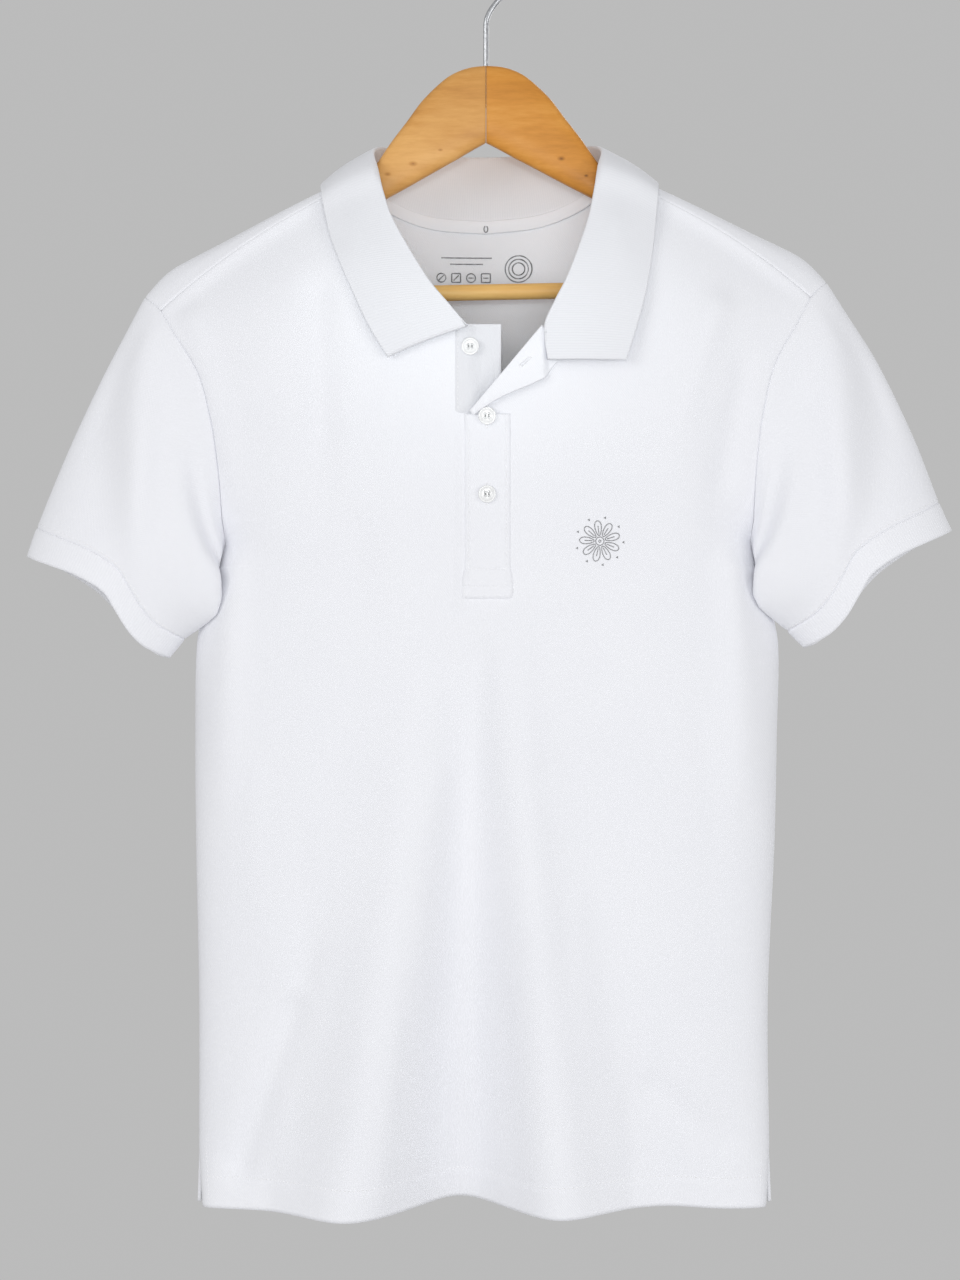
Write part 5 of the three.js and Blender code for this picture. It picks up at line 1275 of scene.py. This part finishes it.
def makeButton(name, x, z, lift):
    # Round profile turned about its axis; the face is dished and four wells are sunk in it
    turn = np.linspace(0, 2 * np.pi, button["around"] + 1)[:-1][None, :]
    profile = np.array([(0, 0), (0.8, 0), (0.93, 0.1), (1, 0.4), (0.985, 0.75), (0.93, 0.95), (0.86, 1),
                        (0.79, 0.96), (0.7, 0.8), (0.6, 0.7), (0.45, 0.66), (0.3, 0.655), (0.15, 0.65), (0, 0.65)])
    run = np.concatenate([[0], np.cumsum(np.hypot(*np.diff(profile * [button["radius"], button["thick"]], axis=0).T))])
    place = np.linspace(0, run[-1], button["rings"] + 1)
    radius = np.interp(place, run, profile[:, 0])[:, None] * button["radius"]
    height = np.interp(place, run, profile[:, 1])[:, None] * button["thick"] + 0 * turn
    flatX, flatZ = radius * np.cos(turn), radius * np.sin(turn)
    onFace = (place[:, None] > run[8]) + 0 * turn
    for quarter in range(4):
        angle = math.pi / 4 + quarter * math.pi / 2
        away = np.hypot(flatX - button["holeReach"] * math.cos(angle), flatZ - button["holeReach"] * math.sin(angle))
        height = height - onFace * 1.3 * smooth((button["hole"] + 0.12 - away) / 0.24)
    slope = float(frontDepth(np.array(x), np.array(z + 4.0)) - frontDepth(np.array(x), np.array(z - 4.0))) / 8
    across = float(frontDepth(np.array(x + 4.0), np.array(z)) - frontDepth(np.array(x - 4.0), np.array(z))) / 8
    centreY = float(frontDepth(np.array(x), np.array(z))) - lift
    points = np.stack([x + flatX, centreY - height + flatX * across + flatZ * slope, z + flatZ], -1)
    patch = Patch()
    uv = np.zeros((button["rings"] + 1, button["around"] + 1, 2))
    patch.grid(points, uv, turned=True, closed=True)
    piece = patch.build(name + "_disc")
    finishPiece(piece, buttonWhite, [name])
    # two threads stand side by side, each from one well to the one below it; their dark grey is painted shade of the
    # wells
    for index, side in enumerate((-1, 1)):
        lineZ = np.linspace(-1, 1, 9) * button["holeReach"] * 0.9
        lineX = np.full(9, side * button["holeReach"] * math.sqrt(0.5))
        lineY = centreY - 0.68 * button["thick"] - 0.25 + lineX * across + lineZ * slope
        path = np.stack([x + lineX, lineY, z + lineZ], -1)
        stitches(name + "_shade_thread_" + str(index), path, np.tile([0, -1.0, 0], (9, 1)), buttonWellShadeThread,
                 pitch=2.6, length=2.3, radius=0.36, sink=0.12)
    return piece


for name, (x, z, lift) in buttonPlaces.items():
    makeButton(name, x, z, lift)
print("buttons made")

# Hanger

# reach from the middle, top, bottom, share of the full thickness
armSections = [
    (0.15, -92.7, -143.5, 1), (10, -93.6, -148.8, 1), (20, -96.8, -154.5, 1), (28.4, -102, -159, 1),
    (42.2, -115.2, -166.6, 1), (52.1, -128.4, -172, 1), (62.7, -142.2, -177.6, 1), (73, -157.2, -183.2, 0.97),
    (84, -170.4, -189.2, 0.9), (96, -174, -196.3, 0.95), (108, -177.6, -203.5, 1), (130, -187.4, -217, 1),
    (152, -198.2, -230.5, 1), (180, -212.2, -246.5, 1), (203, -226.8, -259.5, 1), (212, -235.5, -260.5, 0.86),
    (217, -242.5, -256.5, 0.5)]
hanger = {"thick": 13.5, "square": 0.62, "around": 64, "rows": 170, "barRadius": 5.3, "barHeight": -242,
          "barReach": 176, "wire": 1.8, "hookRadius": 23.2, "shankBottom": -120, "shankTop": -66}


def makeArm(side, name, material, node):
    # Squared-off ovals along the arm, closed at both ends
    reach = np.linspace(armSections[0][0], armSections[-1][0], hanger["rows"])
    top, bottom, thick = tableAt(armSections, reach)
    angle = (np.arange(hanger["around"]) + 0.5) * 2 * np.pi / hanger["around"]
    over = np.sign(np.cos(angle)) * np.abs(np.cos(angle)) ** hanger["square"]
    up = np.sign(np.sin(angle)) * np.abs(np.sin(angle)) ** hanger["square"]
    x = side * reach[:, None] + 0 * angle
    middle = ((top + bottom) / 2 + body["tilt"] * side * reach)[:, None]
    points = np.stack([x, over * hanger["thick"] * thick[:, None] / 2,
                       middle + up * ((top - bottom) / 2)[:, None]], -1)
    patch = Patch()
    uv = np.zeros((len(reach), hanger["around"] + 1, 2))
    index = patch.grid(points, uv, turned=side < 0, closed=True)
    for row in (0, -1):
        ring = index[row] if (row == 0) == (side < 0) else index[row][::-1]
        patch.fan(points[row].mean(0), ring)
    return finishPiece(patch.build(name, weld=False), material, [node])


def tube(name, path, radius, material, nodes, around=32):
    # A round section carried along a path that lies in the plane of the hanger
    path = np.asarray(path, float)
    along = np.gradient(path, axis=0)
    along /= np.linalg.norm(along, axis=1, keepdims=True)
    beside = np.tile([0, 1.0, 0], (len(path), 1))
    up = np.cross(along, beside)
    angle = np.arange(around) * 2 * np.pi / around
    radius = np.broadcast_to(radius, len(path))[:, None, None]
    points = path[:, None] + radius * (beside[:, None] * np.cos(angle)[None, :, None]
                                       + up[:, None] * np.sin(angle)[None, :, None])
    patch = Patch()
    index = patch.grid(points, np.zeros((len(path), around + 1, 2)), closed=True, turned=True)
    patch.fan(path[0], index[0])
    patch.fan(path[-1], index[-1][::-1])
    return finishPiece(patch.build(name, weld=False), material, nodes)


def hookPath():
    # Straight shank, a lean to the right, then an arc of the crook that ends at the left
    centre = np.array([-0.5, -hanger["hookRadius"] - hanger["wire"]])
    first, last = -0.78, 3.75
    bend = centre + hanger["hookRadius"] * np.array([math.cos(first), math.sin(first)])
    shank = np.stack([np.zeros(30), np.linspace(hanger["shankBottom"], hanger["shankTop"], 30)], -1)
    over = np.linspace(0, 1, 30)[1:, None]
    rest = 1 - over
    lean = (rest ** 3 * [0, hanger["shankTop"]] + 3 * rest ** 2 * over * [0, hanger["shankTop"] + 9]
            + 3 * rest * over ** 2 * [bend[0] - 9, bend[1] - 9] + over ** 3 * bend)
    turn = np.linspace(first, last, 120)[1:, None]
    crook = centre + hanger["hookRadius"] * np.concatenate([np.cos(turn), np.sin(turn)], 1)
    flat = np.concatenate([shank, lean, crook])
    return np.stack([flat[:, 0], 0 * flat[:, 0], flat[:, 1]], -1)


makeArm(-1, "arm_left_wood", armWoodLeft, "hanger_arm_left")
makeArm(1, "arm_right_wood", armWoodRight, "hanger_arm_right")
barX = np.linspace(-hanger["barReach"], hanger["barReach"], 60)
barPath = np.stack([barX, 0 * barX, hanger["barHeight"] + body["tilt"] * barX], -1)
tube("bar_wood", barPath, hanger["barRadius"], barWood, ["hanger_bar"], 48)
turn = np.linspace(0.35, 2 * np.pi - 0.35, 40)
tapeFoot = tapePoints[-1, 60]
loopPath = np.stack([tapeFoot[0] + 1.3 * np.sin(turn), np.full(turn.shape, tapeFoot[1] - 1.0),
                     tapeFoot[2] + 3.4 + 2.1 * np.cos(turn)], -1)
tube("neck_loop", loopPath, 0.34, threadMaterial("loopThread", (0.2, 0.2, 0.21)), ())
tube("hook_wire", hookPath(), hanger["wire"], steel, ["hanger_hook"], 24)
print("hanger made")

# Stage, light and camera

stage = {"floor": -1.25, "floorSize": 3.4, "world": 0.5, "frontPower": 23, "keyPower": 14, "fillPower": 10, "backPower": 29,
         "neckPower": 56}


def makeStage():
    bpy.ops.mesh.primitive_circle_add(vertices=96, radius=stage["floorSize"] / 2, fill_type="NGON",
                                      location=(0, 0, stage["floor"]))
    floor = bpy.context.object
    floor.name = "floor"
    material, tree, shader = nodesOf("paleFloor")
    place = tree.nodes.new("ShaderNodeTexCoord").outputs["Object"]
    cloud = noiseNode(tree, place, 3, 2)
    link(tree, rampNode(tree, cloud, [(0.3, (0.6, 0.6, 0.6)), (0.7, (0.66, 0.66, 0.66))]), shader.inputs["Base Color"])
    shader.inputs["Roughness"].default_value = 0.8
    floor.data.materials.append(material)


def areaLight(name, place, target, size, power, kind="AREA"):
    lamp = bpy.data.lights.new(name, kind)
    if kind == "AREA":
        lamp.shape = "SQUARE"
        lamp.size = size
    else:
        lamp.shadow_soft_size = size
        lamp.spot_size = 0.092
        lamp.color = (0.9, 1, 1)
        lamp.spot_blend = 1.0
    lamp.energy = power
    light = bpy.data.objects.new(name, lamp)
    bpy.context.scene.collection.objects.link(light)
    light.location = place
    direction = np.array(target, float) - np.array(place, float)
    from mathutils import Vector
    light.rotation_euler = Vector(direction).to_track_quat("-Z", "Y").to_euler()
    return light


makeStage()
world = bpy.data.worlds.new("softRoom")
bpy.context.scene.world = world
world.use_nodes = True
world.node_tree.nodes["Background"].inputs["Color"].default_value = (stage["world"],) * 3 + (1,)
areaLight("front", (0.15, -2.9, -0.6), (0, 0, -0.6), 1.2, stage["frontPower"])
areaLight("fill", (1.9, -1.7, -0.4), (0.05, 0, -0.45), 1.2, stage["fillPower"])
areaLight("key", (-1.7, -1.9, 0.2), (0, 0, -0.45), 1.2, stage["keyPower"])
areaLight("neck", (0, -2.1, -0.3), (0, 0.04, -0.232), 0.1, stage["neckPower"], "SPOT")
areaLight("behind", (0.6, 2.3, 0.6), (0, 0, -0.45), 1.8, stage["backPower"])

camera = bpy.data.cameras.new("camera")
camera.lens = 93.75
camera.sensor_width = 36
eye = bpy.data.objects.new("camera", camera)
bpy.context.scene.collection.objects.link(eye)
eye.location = (-3.96 * mm, -2.2, -471.5 * mm)
eye.rotation_euler = (math.pi / 2, 0, 0)
bpy.context.scene.camera = eye
bpy.context.scene.view_settings.view_transform = "Standard"

bpy.context.view_layer.update()
print("scene ready")
